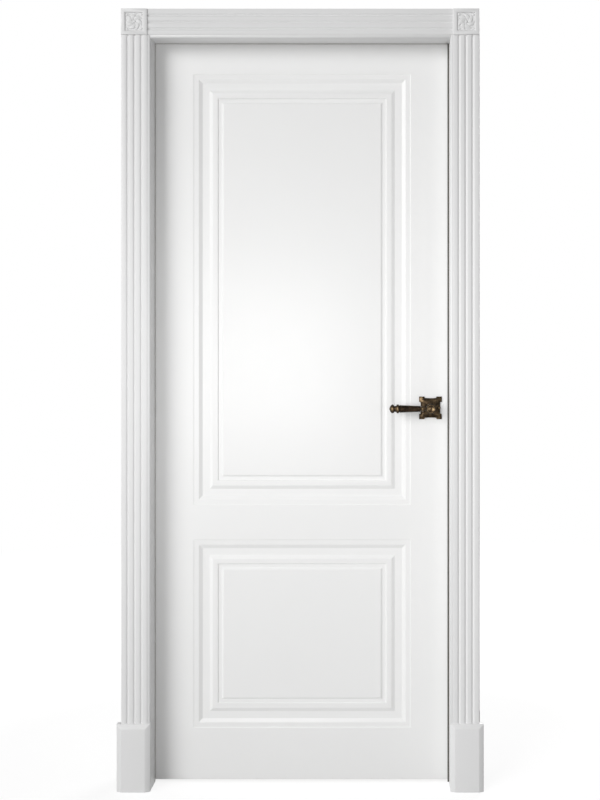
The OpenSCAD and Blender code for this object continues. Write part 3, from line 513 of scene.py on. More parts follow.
def painted_skin():
    """Slow tone drift, gloss drift and a fine skin, as a group on object coordinates"""
    group = bpy.data.node_groups.new("painted_skin", "ShaderNodeTree")
    socket = group.interface.new_socket
    socket(name="Colour", in_out="INPUT", socket_type="NodeSocketColor").default_value = (0.8, 0.8, 0.8, 1)
    for name, value in (("Drift", 0.03), ("Roughness", 0.4), ("Grain size", 600.0)):
        socket(name=name, in_out="INPUT", socket_type="NodeSocketFloat").default_value = value
    socket(name="Colour", in_out="OUTPUT", socket_type="NodeSocketColor")
    for name in ("Roughness", "Height"):
        socket(name=name, in_out="OUTPUT", socket_type="NodeSocketFloat")
    given = group.nodes.new("NodeGroupInput").outputs
    place = object_place(group)
    slow = noise(group, place, 2.2, 3)
    cloudy = noise(group, place, 38, 4)
    fine = noise(group, place, given["Grain size"], 2)
    drift = maths(group, "MULTIPLY", maths(group, "SUBTRACT", slow, 0.5), given["Drift"])
    tone = maths(group, "ADD", drift, 1.0)
    shade = add_node(group, "HueSaturation", {"Color": given["Colour"], "Value": tone})
    gloss = remap(group, cloudy, (-0.06, 0.08))
    feed(group, group.nodes.new("NodeGroupOutput"), {
        "Colour": shade.outputs["Color"],
        "Roughness": maths(group, "ADD", gloss, given["Roughness"], use_clamp=True),
        "Height": maths(group, "MULTIPLY_ADD", cloudy, 0.35, fine),
    })
    return group


def skinned(name, group, tint, drift, roughness, grain, bump):
    """A finish on the painted skin; bump is its strength and distance"""
    tree, shader = new_material(name)
    inputs = {"Colour": (*tint, 1), "Drift": drift, "Roughness": roughness, "Grain size": grain}
    skin = add_node(tree, "Group", inputs, node_tree=group).outputs
    feed(tree, shader, {
        "Base Color": skin["Colour"],
        "Roughness": skin["Roughness"],
        "Normal": bumped(tree, skin["Height"], *bump),
    })
    return tree, shader


def lacquer(name, group, tint, roughness):
    """Sprayed satin lacquer with a faint orange peel"""
    tree, shader = skinned(
        name, group, tint, drift=0.035, roughness=roughness, grain=420, bump=(0.12, 0.0003))
    feed(tree, shader, {"Coat Weight": 0.12, "Coat Roughness": 0.25})


def zinc_steel(group, tint):
    """Zinc-plated steel with a faint cloudy sheen"""
    tree, shader = skinned(
        "zinc_steel", group, tint, drift=0.3, roughness=0.36, grain=1500, bump=(0.15, 0.0002))
    feed(tree, shader, {"Metallic": 1.0})


def matt(name, group, tint):
    """Matt seal strip or moulded plastic"""
    return skinned(name, group, tint, drift=0.35, roughness=0.68, grain=1800, bump=(0.3, 0.0003))


def seal_rubber(group, own_tone, gap_shadow):
    """A seal strip, darker beside the lock with painted shadow that stands in for the gap between the leaf and
    the stop
    """
    tree, shader = matt("seal_rubber", group, own_tone)
    skin = shader.inputs["Base Color"].links[0].from_socket
    place = add_node(tree, "SeparateXYZ", {"Vector": object_place(tree)}).outputs
    # Painted shadow: the seal beyond the lock side's edge takes the darker tone
    beside = maths(tree, "GREATER_THAN", place["X"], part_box("lock_side_seal")[0].x)
    feed(tree, shader, {"Base Color": laid_over(tree, beside, skin, gap_shadow)})


def antique_bronze(dark, brown, rubbed):
    """Cast bronze under a dark patina, thin and brown in patches, rubbed bright on its edges and painted
    bright where the lever's highlights fall
    """
    tree, shader = new_material("antique_bronze")
    place = object_place(tree)
    cloud = noise(tree, place, 110, 5, Roughness=0.6)
    pits = noise(tree, place, 900, 3)
    patina = two_tone(tree, cloud, dark, brown, (0.42, 0.72))
    # This attribute holds real rubbing and, on the levers, painted highlights; both take the bright metal
    # colour
    wear_and_sheen = add_node(tree, "Attribute", {}, attribute_name="wear_and_sheen").outputs["Fac"]
    patchy = remap(tree, cloud, (0.0, 0.8), (0.30, 0.62))
    rubbing_and_sheen = maths(tree, "MULTIPLY", wear_and_sheen, patchy)
    feed(tree, shader, {
        "Base Color": laid_over(tree, rubbing_and_sheen, patina, rubbed),
        "Roughness": remap(tree, rubbing_and_sheen, (0.40, 0.24)),
        "Metallic": 1.0,
        "Normal": bumped(tree, pits, 0.2, 0.0002),
    })


def leaf_edge_mask(tree, place):
    """1 on the leaf's long edges and its top edge, 0 inside"""
    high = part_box("front_skin")[1]
    film = 0.0004
    axis = add_node(tree, "SeparateXYZ", {"Vector": place}).outputs
    sides = maths(tree, "GREATER_THAN", maths(tree, "ABSOLUTE", axis["X"]), high.x - film)
    top = maths(tree, "GREATER_THAN", axis["Z"], high.z - film)
    return maths(tree, "MAXIMUM", sides, top)


def edged_pine(light, dark, lacquered):
    """Planed pine with upright grain, lacquered on the leaf's edges"""
    tree, shader = new_material("pine")
    place = object_place(tree)
    stretch = add_node(tree, "Mapping", {"Vector": place, "Scale": (14.0, 14.0, 0.9)})
    grain = noise(tree, stretch.outputs["Vector"], 6, 6, Distortion=0.6)
    edge = leaf_edge_mask(tree, place)
    feed(tree, shader, {
        "Base Color": laid_over(tree, edge, two_tone(tree, grain, dark, light, (0.35, 0.65)), lacquered),
        "Roughness": remap(tree, edge, (0.62, 0.36)),
        "Normal": bumped(tree, grain, 0.12, 0.0003),
    })


def chipboard(light, dark):
    """Raw chipboard"""
    tree, shader = new_material("chipboard")
    chips = add_node(tree, "TexVoronoi", {"Vector": object_place(tree), "Scale": 160}).outputs
    feed(tree, shader, {
        "Base Color": two_tone(tree, chips["Color"], dark, light),
        "Roughness": 0.8,
        "Normal": bumped(tree, chips["Distance"], 0.3, 0.0005),
    })


# Pieces

class DOOR_OT_finishes(bpy.types.Operator):
    """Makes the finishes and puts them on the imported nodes"""
    bl_idname = "door.finishes"
    bl_label = "Finishes"

    def execute(self, context):
        colours = context.scene.door_finish
        group = painted_skin()
        lacquer("leaf_lacquer", group, colours.leaf_white, 0.34)
        lacquer("frame_lacquer", group, colours.frame_white, 0.38)
        antique_bronze(colours.bronze_dark, colours.bronze_brown, colours.bronze_rubbed)
        zinc_steel(group, colours.zinc)
        seal_rubber(group, colours.seal_brown, colours.seal_gap_shadow)
        matt("black_plastic", group, colours.box_black)
        edged_pine(colours.pine_light, colours.pine_dark, colours.leaf_white)
        chipboard(colours.chips_light, colours.chips_dark)
        for node in SLOT_OF:
            coat(frame["nodes"][node], node)
        return {"FINISHED"}


class DOOR_OT_leaf(bpy.types.Operator):
    """Routes the leaf's two skins"""
    bl_idname = "door.leaf"
    bl_label = "Leaf skins"

    def execute(self, context):
        sizes = context.scene.door_moulding
        low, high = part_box("front_skin")
        half = high.x - sizes.stile
        lower_start = low.z + sizes.bottom_rail
        lower = (lower_start, lower_start + sizes.lower_panel)
        upper = (lower[1] + sizes.lock_rail, high.z - sizes.top_rail)
        skin = start_box("routed_front_skin", low, high)
        soften_edges(skin, lambda e: all(near(v.co.y, low.y) for v in e.verts), sizes.arris, 3)
        cut_across(ACROSS, (-half, half))
        cut_across(UP, (*lower, *upper))

        def is_panel(f):
            spot = f.calc_center_median()
            inside = any(bottom < spot.z < top for bottom, top in (lower, upper))
            return near(spot.y, low.y) and abs(spot.x) < half and inside

        line = self.section(sizes)
        pick(skin, "FACE", is_panel)
        for here, there in zip(line, line[1:]):
            bpy.ops.mesh.inset(thickness=there.x - here.x, depth=here.y - there.y, use_even_offset=True)
        finish_piece(skin, "front_skin", 20)
        back_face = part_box("back_skin")[1].y
        twin = copy_piece(skin, "routed_back_skin", flip_through((low.y + back_face) / 2))
        for height in HINGES:
            self.hinge_bed(twin, f"{height}_hinge_door_leaf")
        finish_piece(twin, "back_skin", 20)
        return {"FINISHED"}

    def section(self, sizes):
        """The moulding's section, as (way in, depth) points with soft corners"""
        line = [(0.0, 0.0)]
        steps = (sizes.outer_step, sizes.outer_flat, sizes.slope_in, sizes.channel, sizes.slope_out,
                 sizes.raised, sizes.quirk_drop, sizes.quirk, sizes.field_rise)
        for width, depth in steps:
            line.append((line[-1][0] + width, depth))
        line.append((line[-1][0] + 2 * sizes.softness, line[-1][1]))
        return rounded(line, sizes.softness)

    def hinge_bed(self, skin, node):
        """Cuts the bed of a hinge leaf out of the skin's edge"""
        low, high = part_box(node)
        edge = min(v.co.x for v in skin.data.vertices)
        plate, play = 0.0025, 0.0001
        bed = start_box(
            "hinge_bed", (edge - MM, low.y, low.z - play), (edge + plate + play, high.y, high.z + play))
        combine(skin, bed, "DIFFERENCE")


class DOOR_OT_casings(bpy.types.Operator):
    """Shapes the six grooved casings"""
    bl_idname = "door.casings"
    bl_label = "Casings"

    def execute(self, context):
        for side in SIDES:
            for run in (*HANDS, "head"):
                self.casing(f"{side}_{run}_casing", side, run, context.scene.door_trim)
        return {"FINISHED"}

    def casing(self, node, side, run, sizes):
        low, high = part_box(node)
        across, along = (UP, ACROSS) if run == "head" else (ACROSS, UP)
        outer, inward = (low[across], 1) if run == "left" else (high[across], -1)
        face, back, into = (low.y, high.y, 1) if side == "front" else (high.y, low.y, -1)
        ways_in = [sizes.groove_first + i * sizes.groove_pitch for i in range(sizes.grooves)]
        middles = [outer + inward * way for way in ways_in]
        half = sizes.groove_width / 2

        def in_groove(v):
            return near(v.co.y, face) and any(near(v.co[across], middle) for middle in middles)

        def is_arris(e):
            return edge_along(e, along) and is_sharp(e) and not any(near(v.co.y, back) for v in e.verts)

        piece = start_box(f"grooved_{node}", low, high)
        cut_across(across, [middle + way for middle in middles for way in (-half, 0, half)])
        pick(piece, "EDGE", lambda e: edge_along(e, along) and all(in_groove(v) for v in e.verts))
        bpy.ops.transform.translate(value=(0, into * sizes.groove_depth, 0))
        soften_edges(piece, is_arris, sizes.softness, 3)
        finish_piece(piece, node, 30)


# The button in a corner block's whorl: rise in millimetres and share of its radius
BUTTON = ((-0.4, 0), (-0.4, 1), (1.2, 1), (2.2, 0.8), (2.6, 0.45), (2.2, 0.2), (2.4, 0))


class DOOR_OT_corner_blocks(bpy.types.Operator):
    """Carves the corner blocks with a whorl of leaves"""
    bl_idname = "door.corner_blocks"
    bl_label = "Corner blocks"

    def execute(self, context):
        low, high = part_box("front_right_corner_block")
        block = self.carve(context.scene.door_trim, (high - low) / 2)
        for side in SIDES:
            for hand in HANDS:
                node = f"{side}_{hand}_corner_block"
                flip = Matrix.Diagonal((-1 if hand == "left" else 1, 1 if side == "front" else -1, 1, 1))
                twin = copy_piece(block, f"carved_{node}", Matrix.Translation(middle_of(node)) @ flip)
                finish_piece(twin, node, 40)
        bpy.data.objects.remove(block, do_unlink=True)
        return {"FINISHED"}

    def carve(self, sizes, reach):
        slope, depth = sizes.block_field
        block = start_box("corner_block_pattern", -reach, reach)
        pick(block, "FACE", lambda f: f.normal.y < -0.9)
        bpy.ops.mesh.inset(thickness=sizes.block_border, depth=0)
        bpy.ops.mesh.inset(thickness=slope, depth=-depth)
        soften_edges(block, lambda e: any(near(v.co.y, -reach.y) for v in e.verts) and is_sharp(e, 0.3),
                     sizes.softness, 2)
        deselect()
        floor = Vector((0, depth - reach.y, 0))
        field = reach.x - sizes.block_border - slope
        count = sizes.whorl_leaves
        carving = [self.leaf(floor, field, depth, i * 2 * math.pi / count) for i in range(count)]
        carving += [self.corner_leaf(floor, field, depth, math.radians(45 + 90 * i)) for i in range(4)]
        button_radius = field * 0.17
        button = [(rise * MM, button_radius * share) for rise, share in BUTTON]
        carving.append(turned("whorl_button", button, floor, OUT, 24))
        join(block, carving)
        return block

    def leaf(self, floor, field, depth, turn):
        """One curved leaf, from the button outwards"""
        wide, blunt = 0.21, 0.25
        root, run = 0.14, 0.88
        sweep, lean = 1.05, 0.7

        def spine(t):
            angle = turn + sweep * t ** 1.3
            width = field * wide * (blunt + math.sin(math.pi * t ** 0.8))
            aside = self.heading(angle + lean * t + math.pi / 2) * width
            return self.heading(angle) * field * (root + run * t), aside, 0.50 + 0.25 * math.sin(math.pi * t)

        return self.carved_leaf((20, 12), floor, depth, (0.2, 0.4), spine)

    def corner_leaf(self, floor, field, depth, turn):
        """A small pointed leaf in a corner of the field"""
        wide, high, run = 0.17, 0.6, 0.30

        def spine(t):
            aside = self.heading(turn + math.pi / 2) * field * wide * math.sin(math.pi * (0.12 + 0.8 * t))
            return self.heading(turn) * field * (1 + run * t), aside, high

        return self.carved_leaf((14, 10), floor, depth, (0.4, 0.3), spine)

    def heading(self, angle):
        """The direction at an angle in the block's face"""
        return Vector((math.cos(angle), 0, math.sin(angle)))

    def carved_leaf(self, parts, floor, depth, vein, spine):
        """Presses a ball to a leaf with a vein, by its place, half width and rise from root to tip"""
        vein_depth, vein_width = vein
        under_field = -0.15
        segments, rings = parts
        obj = added("whorl_leaf", bpy.ops.mesh.primitive_uv_sphere_add,
                    segments=segments, ring_count=rings, radius=1)
        for v in obj.data.vertices:
            place, aside, rise = spine(max(v.co.x + 1, 0) / 2)
            groove = 1 - vein_depth * math.exp(-(v.co.y / vein_width) ** 2)
            lift = depth * rise * groove * max(v.co.z, under_field)
            v.co = floor + place + aside * v.co.y + OUT * lift
        edit(obj)
        close_mesh()
        deselect()
        return obj


class DOOR_OT_plinths(bpy.types.Operator):
    """Bevels the plinth blocks"""
    bl_idname = "door.plinths"
    bl_label = "Plinth blocks"

    def execute(self, context):
        for side in SIDES:
            for hand in HANDS:
                self.plinth(f"{side}_{hand}_plinth", side, context.scene.door_trim)
        return {"FINISHED"}

    def plinth(self, node, side, sizes):
        low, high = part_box(node)
        width, depth = sizes.plinth_bevel
        facing, face = (-1, low.y) if side == "front" else (1, high.y)
        shallow = [corner.copy() for corner in (low, high)]
        shallow[0 if side == "front" else 1].y -= facing * depth
        piece = start_box(f"bevelled_{node}", *shallow)
        pick(piece, "FACE", lambda f: f.normal.y * facing > 0.9)
        bpy.ops.mesh.inset(thickness=width, depth=depth)
        pick(piece, "VERT", lambda v: near(v.co.y, face) and near(v.co.z, low.z + width))
        bpy.ops.transform.translate(value=(0, 0, -width))
        soften_edges(piece, lambda e: is_sharp(e) and not all(near(v.co.z, low.z) for v in e.verts),
                     sizes.softness * 1.5, 3)
        finish_piece(piece, node, 30)


# The boss's dished front, in millimetres along the spindle from its rim and outwards from its edge
BOSS_DISH = ((0.3, -0.8), (0, -1.6), (-1.2, -3.4), (-1.9, -5.6), (-2.1, -7.8), (-1.2, -8.4), (-0.8, -9.8))


class DOOR_OT_levers(bpy.types.Operator):
    """Turns the levers: neck, boss, grip, ring and knob"""
    bl_idname = "door.levers"
    bl_label = "Levers"

    def execute(self, context):
        spindle = middle_of("spindle")
        root = Vector((spindle.x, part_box("front_skin")[0].y, spindle.z))
        lever = self.lever(context.scene.door_handle, root)
        finish_piece(lever, "front_lever", 40)
        twin = copy_piece(lever, "turned_back_lever", flip_through(spindle.y))
        finish_piece(twin, "back_lever", 40)
        return {"FINISHED"}

    def lever(self, sizes, root):
        neck_line = self.neck_line(sizes)
        lever = turned("turned_front_lever", rounded(neck_line, 0.7 * MM, 2), root, OUT)
        knob_start = sizes.lever_length - sizes.knob_length
        ring_end = knob_start - sizes.knob_neck[0]
        ring_start = ring_end - sizes.ring_width
        grip_line = self.grip_line(sizes, ring_start)
        grip_line += self.ring_line((ring_start + ring_end) / 2, sizes.ring_width, sizes.knob_radius)
        grip_line += in_mm([(0.6, 0.6), (2, 0)], ring_end, sizes.knob_neck[1])
        grip_line += in_mm([(-1, -0.2)], knob_start, sizes.knob_neck[1])
        grip_line += self.knob_line(sizes, knob_start)
        combine(lever, turned("grip", grip_line, root + OUT * sizes.stand, (-1, 0, 0)), "UNION")
        hole_start, hole_end, hole = 0.003, 0.012, sizes.grub_radius
        hole_line = [(hole_start, 0), (hole_start, hole), (hole_end, hole), (hole_end, 0)]
        place = root + OUT * sizes.grub_place
        combine(lever, turned("grub_hole", hole_line, place, (0, 0, -1), 24), "DIFFERENCE")
        button, band, dish_band = 0.0035, 0.006, 0.0035

        def touch_and_sheen(place):
            along, rise = root.x - place.x, place.z - root.z
            on_ring = ring_start < along < ring_end
            on_bead = abs(along - sizes.bead_place) < sizes.bead_width / 2
            # A bright band along the middle height of the ring, bead and knob: partly wear, partly painted
            # highlight
            if on_ring or on_bead or along > knob_start:
                return 0.5 * math.exp(-(rise / band) ** 2)
            # Painted highlights: bright bands in the dish, left and right of its button
            in_dish = root.y - place.y > sizes.stand and button < abs(along) < self.rim(sizes)[1]
            return math.exp(-(rise / dish_band) ** 2) if in_dish else 0.0

        mark_wear_and_sheen(lever, flat=180, sharp=1100, touch_and_sheen=touch_and_sheen)
        return lever

    def rim(self, sizes, turn=35):
        """A point of the boss's rounded side, by its turn in degrees; its rim lies at the last"""
        angle = math.radians(turn)
        return sizes.stand + sizes.boss_half * math.sin(angle), sizes.boss_radius * math.cos(angle)

    def neck_line(self, sizes):
        """Neck, flare, rounded boss and dished front, along the spindle from the leaf's face"""
        base = sizes.stand - sizes.boss_half
        clear = 0.5 * MM
        line = [(clear, 0), (clear, sizes.neck_radius)]
        line += in_mm([(-12, 0), (-6, 1.2)], base, sizes.neck_radius)
        line += in_mm([(0, -0.8), (1, 0)], base, sizes.boss_radius)
        line += [self.rim(sizes, turn) for turn in range(0, 40, 5)]
        rim, edge = line[-1]
        line += in_mm(BOSS_DISH, rim, edge)
        line.append((rim - 0.7 * MM, 0))
        return line

    def grip_line(self, sizes, ring_start):
        """Arm, bead and grip, from inside the boss to the ring"""
        arm, half_bead = sizes.arm_radius, sizes.bead_width / 2
        foot = sizes.boss_radius - 2.9 * MM
        bead_end = sizes.bead_place + half_bead
        grip_start = bead_end + sizes.arm_groove
        line = [(foot, 0), (foot, arm), (sizes.bead_place - half_bead, arm)]
        line += self.ring_line(sizes.bead_place, sizes.bead_width, sizes.bead_radius)
        line += [(bead_end, arm), (grip_start, arm)]
        line += in_mm([(0.3, -1.2), (1, 0)], grip_start, sizes.grip_near)
        line += in_mm([(-2, 0), (-0.6, -1.2), (0, -1.2)], ring_start, sizes.grip_far)
        return line

    def ring_line(self, middle, width, radius):
        """A rounded ring around the grip"""
        turn, thick = math.radians(70), 2.2 * MM
        line = []
        for i in range(9):
            a = turn * (i / 4 - 1)
            along = middle + width / 2 * math.sin(a) / math.sin(turn)
            line.append((along, radius - thick + thick * math.cos(a)))
        return line

    def knob_line(self, sizes, start):
        """The acorn knob: a quick swell from its neck, then a long taper to its point"""
        radius, shoulder = sizes.knob_radius, sizes.knob_shoulder
        widest = start + shoulder
        taper = sizes.knob_length - shoulder
        swell = math.radians(50)
        line = []
        for i in range(6):
            a = swell * (i / 6 - 1)
            line.append((widest + shoulder * math.sin(a) / math.sin(swell), radius * math.cos(a)))
        for i in range(13):
            s = math.sin(math.pi / 2 * i / 12)
            line.append((widest + taper * s, radius * (1 - s * s) ** 0.75))
        return line


# The rose's inner rings: shares of its half width at corner and waist, and millimetres over its thickness
ROSE_RINGS = ((0.78, 0.58, -0.4), (0.68, 0.53, 0), (0.63, 0.49, -1.6))
# The rose's collar in millimetres: at the rose's face, and at its own top
COLLAR_FOOT = ((-3, 1.2), (-0.4, 1), (0.4, 0))
COLLAR_TOP = ((-1.2, -0.2), (-0.3, -0.8), (0, -1.8))
# A small round bead at the rose's side, in millimetres
LOBE = ((-1, 0), (-1, 3.4), (0.8, 3.2), (1.8, 2.4), (2.3, 1.2), (2.4, 0))


class DOOR_OT_roses(bpy.types.Operator):
    """Models the cast roses with their ears, border and collar"""
    bl_idname = "door.roses"
    bl_label = "Roses"

    def execute(self, context):
        low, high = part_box("front_rose")
        middle = Vector(((low.x + high.x) / 2, high.y, (low.z + high.z) / 2))
        rose = self.rose(context.scene.door_handle, middle)
        finish_piece(rose, "front_rose", 40)
        twin = copy_piece(rose, "cast_back_rose", flip_through(middle_of("spindle").y))
        finish_piece(twin, "back_rose", 40)
        return {"FINISHED"}

    def outline(self, sizes):
        """One side of the rose: corner ears joined by a hollow"""
        half, ear, step, notch = sizes.rose_half, sizes.ear, sizes.side_step, sizes.side_notch
        run = half - ear
        points = 12
        side = [(-half, half), (-run, half), (-run, half - notch)]
        for i in range(1, points):
            x = -run + 2 * run * i / points
            side.append((x, half - notch - (step - notch) * (1 - (x / run) ** 2)))
        return side + [(run, half - notch), (run, half)]

    def hollow_square(self, count, corner, waist):
        """One side of a square with hollow sides, with as many points as the outline's side has"""
        places = [-1 + 2 * i / count for i in range(count)]
        return [(x * corner, waist + (corner - waist) * x * x) for x in places]

    def all_round(self, side):
        """Repeats one side's points around the spindle"""
        turns = [Matrix.Rotation(-math.pi / 2 * quarter, 2) for quarter in range(4)]
        return [turn @ Vector(point) for turn in turns for point in side]

    def rose(self, sizes, middle):
        side = self.outline(sizes)
        foot = self.all_round(side)
        half, thick = sizes.rose_half, sizes.rose_thick
        plate = added("cast_front_rose", bpy.ops.mesh.primitive_circle_add,
                      vertices=len(foot), radius=half, fill_type="NGON")
        for v, point in zip(plate.data.vertices, foot):
            v.co = middle + self.at(point, 0)
        edit(plate)
        edge_height, shoulder_height, shoulder = 3.4 * MM, 4.3 * MM, 0.97
        self.raise_ring(plate, foot, middle, edge_height)
        self.raise_ring(plate, [point * shoulder for point in foot], middle, shoulder_height)
        for corner, waist, rise in ROSE_RINGS:
            ring = self.hollow_square(len(side), half * corner, half * waist)
            self.raise_ring(plate, self.all_round(ring), middle, thick + rise * MM)
        close_mesh()
        deselect()
        lobe_place, lobe_rise, lobe_reach = half * 0.79, 6.2 * MM, 3.6 * MM
        lobes = [turned("rose_lobe", in_mm(LOBE), middle + self.at((way * lobe_place, 0), lobe_rise), OUT, 20)
                 for way in (-1, 1)]
        join(plate, [self.collar(sizes, middle), *lobes])

        def touch_and_sheen(place):
            beside = abs(abs(place.x - middle.x) - lobe_place)
            on_lobe = math.hypot(beside, place.z - middle.z) < lobe_reach and middle.y - place.y > lobe_rise
            return 0.9 if on_lobe else 0.1

        mark_wear_and_sheen(plate, flat=250, sharp=1800, touch_and_sheen=touch_and_sheen)
        return plate

    def collar(self, sizes, middle):
        """The ring that guides the lever's neck"""
        radius = sizes.boss_radius - 0.5 * MM
        bore = sizes.neck_radius + 0.05 * MM
        line = in_mm(COLLAR_FOOT, sizes.rose_thick, radius)
        line += in_mm(COLLAR_TOP, sizes.rose_thick + sizes.collar_height, radius)
        start = (line[0][0], bore)
        return turned("rose_collar", [start, *line, (line[-1][0], bore), start], middle, OUT, 48)

    def raise_ring(self, plate, points, middle, height):
        """Extrudes the plate's face and sets its rim on the points at a height"""
        bpy.ops.mesh.extrude_region_move()
        mesh = bmesh.from_edit_mesh(plate.data)
        rim = list(next(f for f in mesh.faces if f.select).verts)

        def miss(v, point):
            return (v.co - middle - self.at(point, 0)).length

        start = min(range(len(rim)), key=lambda i: miss(rim[i], points[0]))
        order = rim[start:] + rim[:start]
        if miss(order[1], points[1]) > miss(order[-1], points[1]):
            order = order[:1] + order[:0:-1]
        for v, point in zip(order, points):
            v.co = middle + self.at(point, height)
        bmesh.update_edit_mesh(plate.data)

    def at(self, point, height):
        """A point of the rose's face at a height above the leaf"""
        return Vector((point[0], -height, point[1]))


class DOOR_OT_softened(bpy.types.Operator):
    """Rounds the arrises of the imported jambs, plates and hinges"""
    bl_idname = "door.softened"
    bl_label = "Softened nodes"

    def execute(self, context):
        sizes = context.scene.door_trim
        for node in ("hinge_jamb", "lock_jamb", "head_jamb"):
            self.soften(node, sizes.jamb_arris)
        for node in ("strike_plate", "latch_forend"):
            self.soften(node, sizes.plate_arris)
        for height in HINGES:
            self.soften(f"{height}_hinge_frame_leaf", sizes.plate_arris)
            self.soften(f"{height}_hinge_door_leaf", sizes.plate_arris)
            self.soften(f"{height}_hinge_pin", sizes.pin_arris)
        return {"FINISHED"}

    def soften(self, node, width):
        piece = copy_piece(frame["nodes"][node], f"softened_{node}")
        edit(piece)
        merge_doubles()
        bpy.ops.mesh.dissolve_limited(angle_limit=math.radians(1))
        activate(piece)
        arris = piece.modifiers.new("arris", "BEVEL")
        arris.width = width
        arris.segments = 2
        arris.limit_method = "ANGLE"
        arris.angle_limit = math.radians(50)
        bpy.ops.object.modifier_apply(modifier=arris.name)
        finish_piece(piece, node)


class DOOR_OT_latch_spring(bpy.types.Operator):
    """Copies the latch spring, which the bolt squeezes against its seat"""
    bl_idname = "door.latch_spring"
    bl_label = "Latch spring"

    def execute(self, context):
        spring = copy_piece(frame["nodes"]["latch_spring"], "squeezed_latch_spring")
        finish_piece(spring, "latch_spring")
        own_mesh(spring)
        return {"FINISHED"}


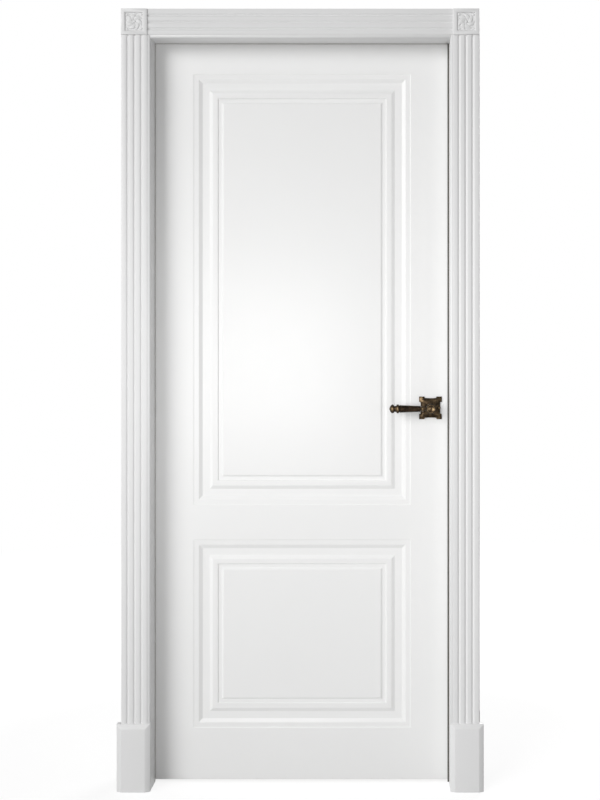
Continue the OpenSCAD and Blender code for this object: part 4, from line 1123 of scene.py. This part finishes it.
class DOOR_OT_studio(bpy.types.Operator):
    """White floor and surround, soft lamps and the camera"""
    bl_idname = "door.studio"
    bl_label = "Studio"

    def execute(self, context):
        settings = context.scene.door_stage
        self.floor()
        self.surround(context.scene, settings.sky)
        self.key_light(settings, place=(-2.2, -3.1, 2.2), target=(0, 0, 1.2))
        self.lamp("glow_lamp", settings.glow_power, size=(0.6, 0.6),
                  place=(-0.2, -1.35, 1.13), target=(-0.1, 0.0, 1.09))
        self.lamp("strip_lamp", settings.strip_power, size=(0.2, 0.4),
                  place=(1.5, -1.3, 1.1), target=(0.35, 0.0, 1.03))
        self.lamp("back_lamp", settings.back_power, size=(2.0, 2.0),
                  place=(1.6, 3.4, 2.2), target=(0.0, 0.0, 1.1))
        self.camera(context.scene, settings)
        context.scene.view_settings.view_transform = "Standard"
        return {"FINISHED"}

    def floor(self):
        """A floor that looks white and keeps the door's shadow"""
        below_feet = 0.5 * MM
        floor = added("studio_floor", bpy.ops.mesh.primitive_plane_add, size=30, location=(0, 0, -below_feet))
        tree, shader = new_material("studio_floor")
        feed(tree, shader, {"Base Color": (0.50, 0.50, 0.50, 1), "Roughness": 0.9})
        glow = add_node(tree, "Emission", {"Color": WHITE, "Strength": self.far_value(tree, 1.80, 1.0)})
        share = maths(tree, "MULTIPLY", self.seen_rays(tree), self.far_value(tree, 0.45, 1.0))
        inputs = {"Fac": share, 1: shader.outputs["BSDF"], 2: glow.outputs["Emission"]}
        mix = add_node(tree, "MixShader", inputs)
        feed(tree, tree.nodes["Material Output"], {"Surface": mix.outputs["Shader"]})
        floor.data.materials.append(FINISHES["studio_floor"])

    def far_value(self, tree, near_door, far_off):
        """A value that changes with the distance from the door, over the reach of its shadow"""
        distance = add_node(tree, "VectorMath", {0: object_place(tree)}, operation="LENGTH").outputs["Value"]
        return remap(tree, distance, (near_door, far_off), (1.0, 4.0))

    def surround(self, scene, strength):
        """A soft surround that looks white"""
        scene.world = bpy.data.worlds.new("white_surround")
        scene.world.use_nodes = True
        tree = scene.world.node_tree
        shown = remap(tree, self.seen_rays(tree), (strength, 1.0))
        feed(tree, tree.nodes["Background"], {"Color": WHITE, "Strength": shown})

    def seen_rays(self, tree):
        """1 for the rays that show the background: from the camera, mirrored or let through"""
        path = add_node(tree, "LightPath", {}).outputs
        straight = maths(tree, "MAXIMUM", path["Is Camera Ray"], path["Is Glossy Ray"])
        return maths(tree, "MAXIMUM", straight, path["Is Transmission Ray"])

    def key_light(self, settings, place, target):
        data = bpy.data.lights.new("key_light", "SUN")
        data.energy = settings.key_light
        data.angle = settings.key_softness
        self.aim(data, place, target)

    def lamp(self, name, power, size, place, target):
        data = bpy.data.lights.new(name, "AREA")
        data.shape = "RECTANGLE"
        data.size, data.size_y = size
        data.energy = power
        self.aim(data, place, target)

    def aim(self, data, place, target):
        """Sets a lamp at a place, turned to its target"""
        lamp = bpy.data.objects.new(data.name, data)
        lamp.location = place
        lamp.rotation_euler = (Vector(target) - Vector(place)).to_track_quat("-Z", "Y").to_euler()
        bpy.context.collection.objects.link(lamp)

    def camera(self, scene, settings):
        """A level camera facing the leaf squarely, shifted so that the opening falls on its pixels"""
        data = bpy.data.cameras.new("camera")
        camera = bpy.data.objects.new("camera", data)
        camera.location = settings.camera_place
        camera.rotation_euler = (math.pi / 2, 0, 0)
        bpy.context.collection.objects.link(camera)
        wide, high = settings.frame_pixels
        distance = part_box("front_head_casing")[0].y - camera.location.y
        data.sensor_width = 36
        data.lens = data.sensor_width * distance / (settings.pixel_size * high)
        middle_x = camera.location.x / settings.pixel_size + settings.axis_pixel[0]
        middle_y = settings.axis_pixel[1] - camera.location.z / settings.pixel_size
        data.shift_x = (wide / 2 - middle_x) / high
        data.shift_y = (middle_y - high / 2) / high
        scene.camera = camera


class DOOR_PT_panel(bpy.types.Panel):
    """Lists the door's pieces and settings"""
    bl_label = "Door"
    bl_space_type = "VIEW_3D"
    bl_region_type = "UI"
    bl_category = "Door"

    def draw(self, context):
        for operator in PIECES:
            self.layout.operator(operator.bl_idname)
        for group in SETTINGS:
            settings = getattr(context.scene, group)
            box = self.layout.box()
            for name in settings.__annotations__:
                box.prop(settings, name)


PIECES = (
    DOOR_OT_finishes, DOOR_OT_leaf, DOOR_OT_casings, DOOR_OT_corner_blocks, DOOR_OT_plinths,
    DOOR_OT_levers, DOOR_OT_roses, DOOR_OT_softened, DOOR_OT_latch_spring, DOOR_OT_studio,
)
CLASSES = (*SETTINGS.values(), *PIECES, DOOR_PT_panel)


def register():
    for made in CLASSES:
        bpy.utils.register_class(made)
    for name, group in SETTINGS.items():
        setattr(bpy.types.Scene, name, bpy.props.PointerProperty(type=group))


def unregister():
    for name in SETTINGS:
        delattr(bpy.types.Scene, name)
    for made in reversed(CLASSES):
        bpy.utils.unregister_class(made)


def main():
    register()
    bpy.ops.door.finishes()
    bpy.ops.door.leaf()
    bpy.ops.door.casings()
    bpy.ops.door.corner_blocks()
    bpy.ops.door.plinths()
    bpy.ops.door.levers()
    bpy.ops.door.roses()
    bpy.ops.door.softened()
    bpy.ops.door.latch_spring()
    bpy.ops.door.studio()
    bpy.context.view_layer.update()


if __name__ == "__main__":
    main()
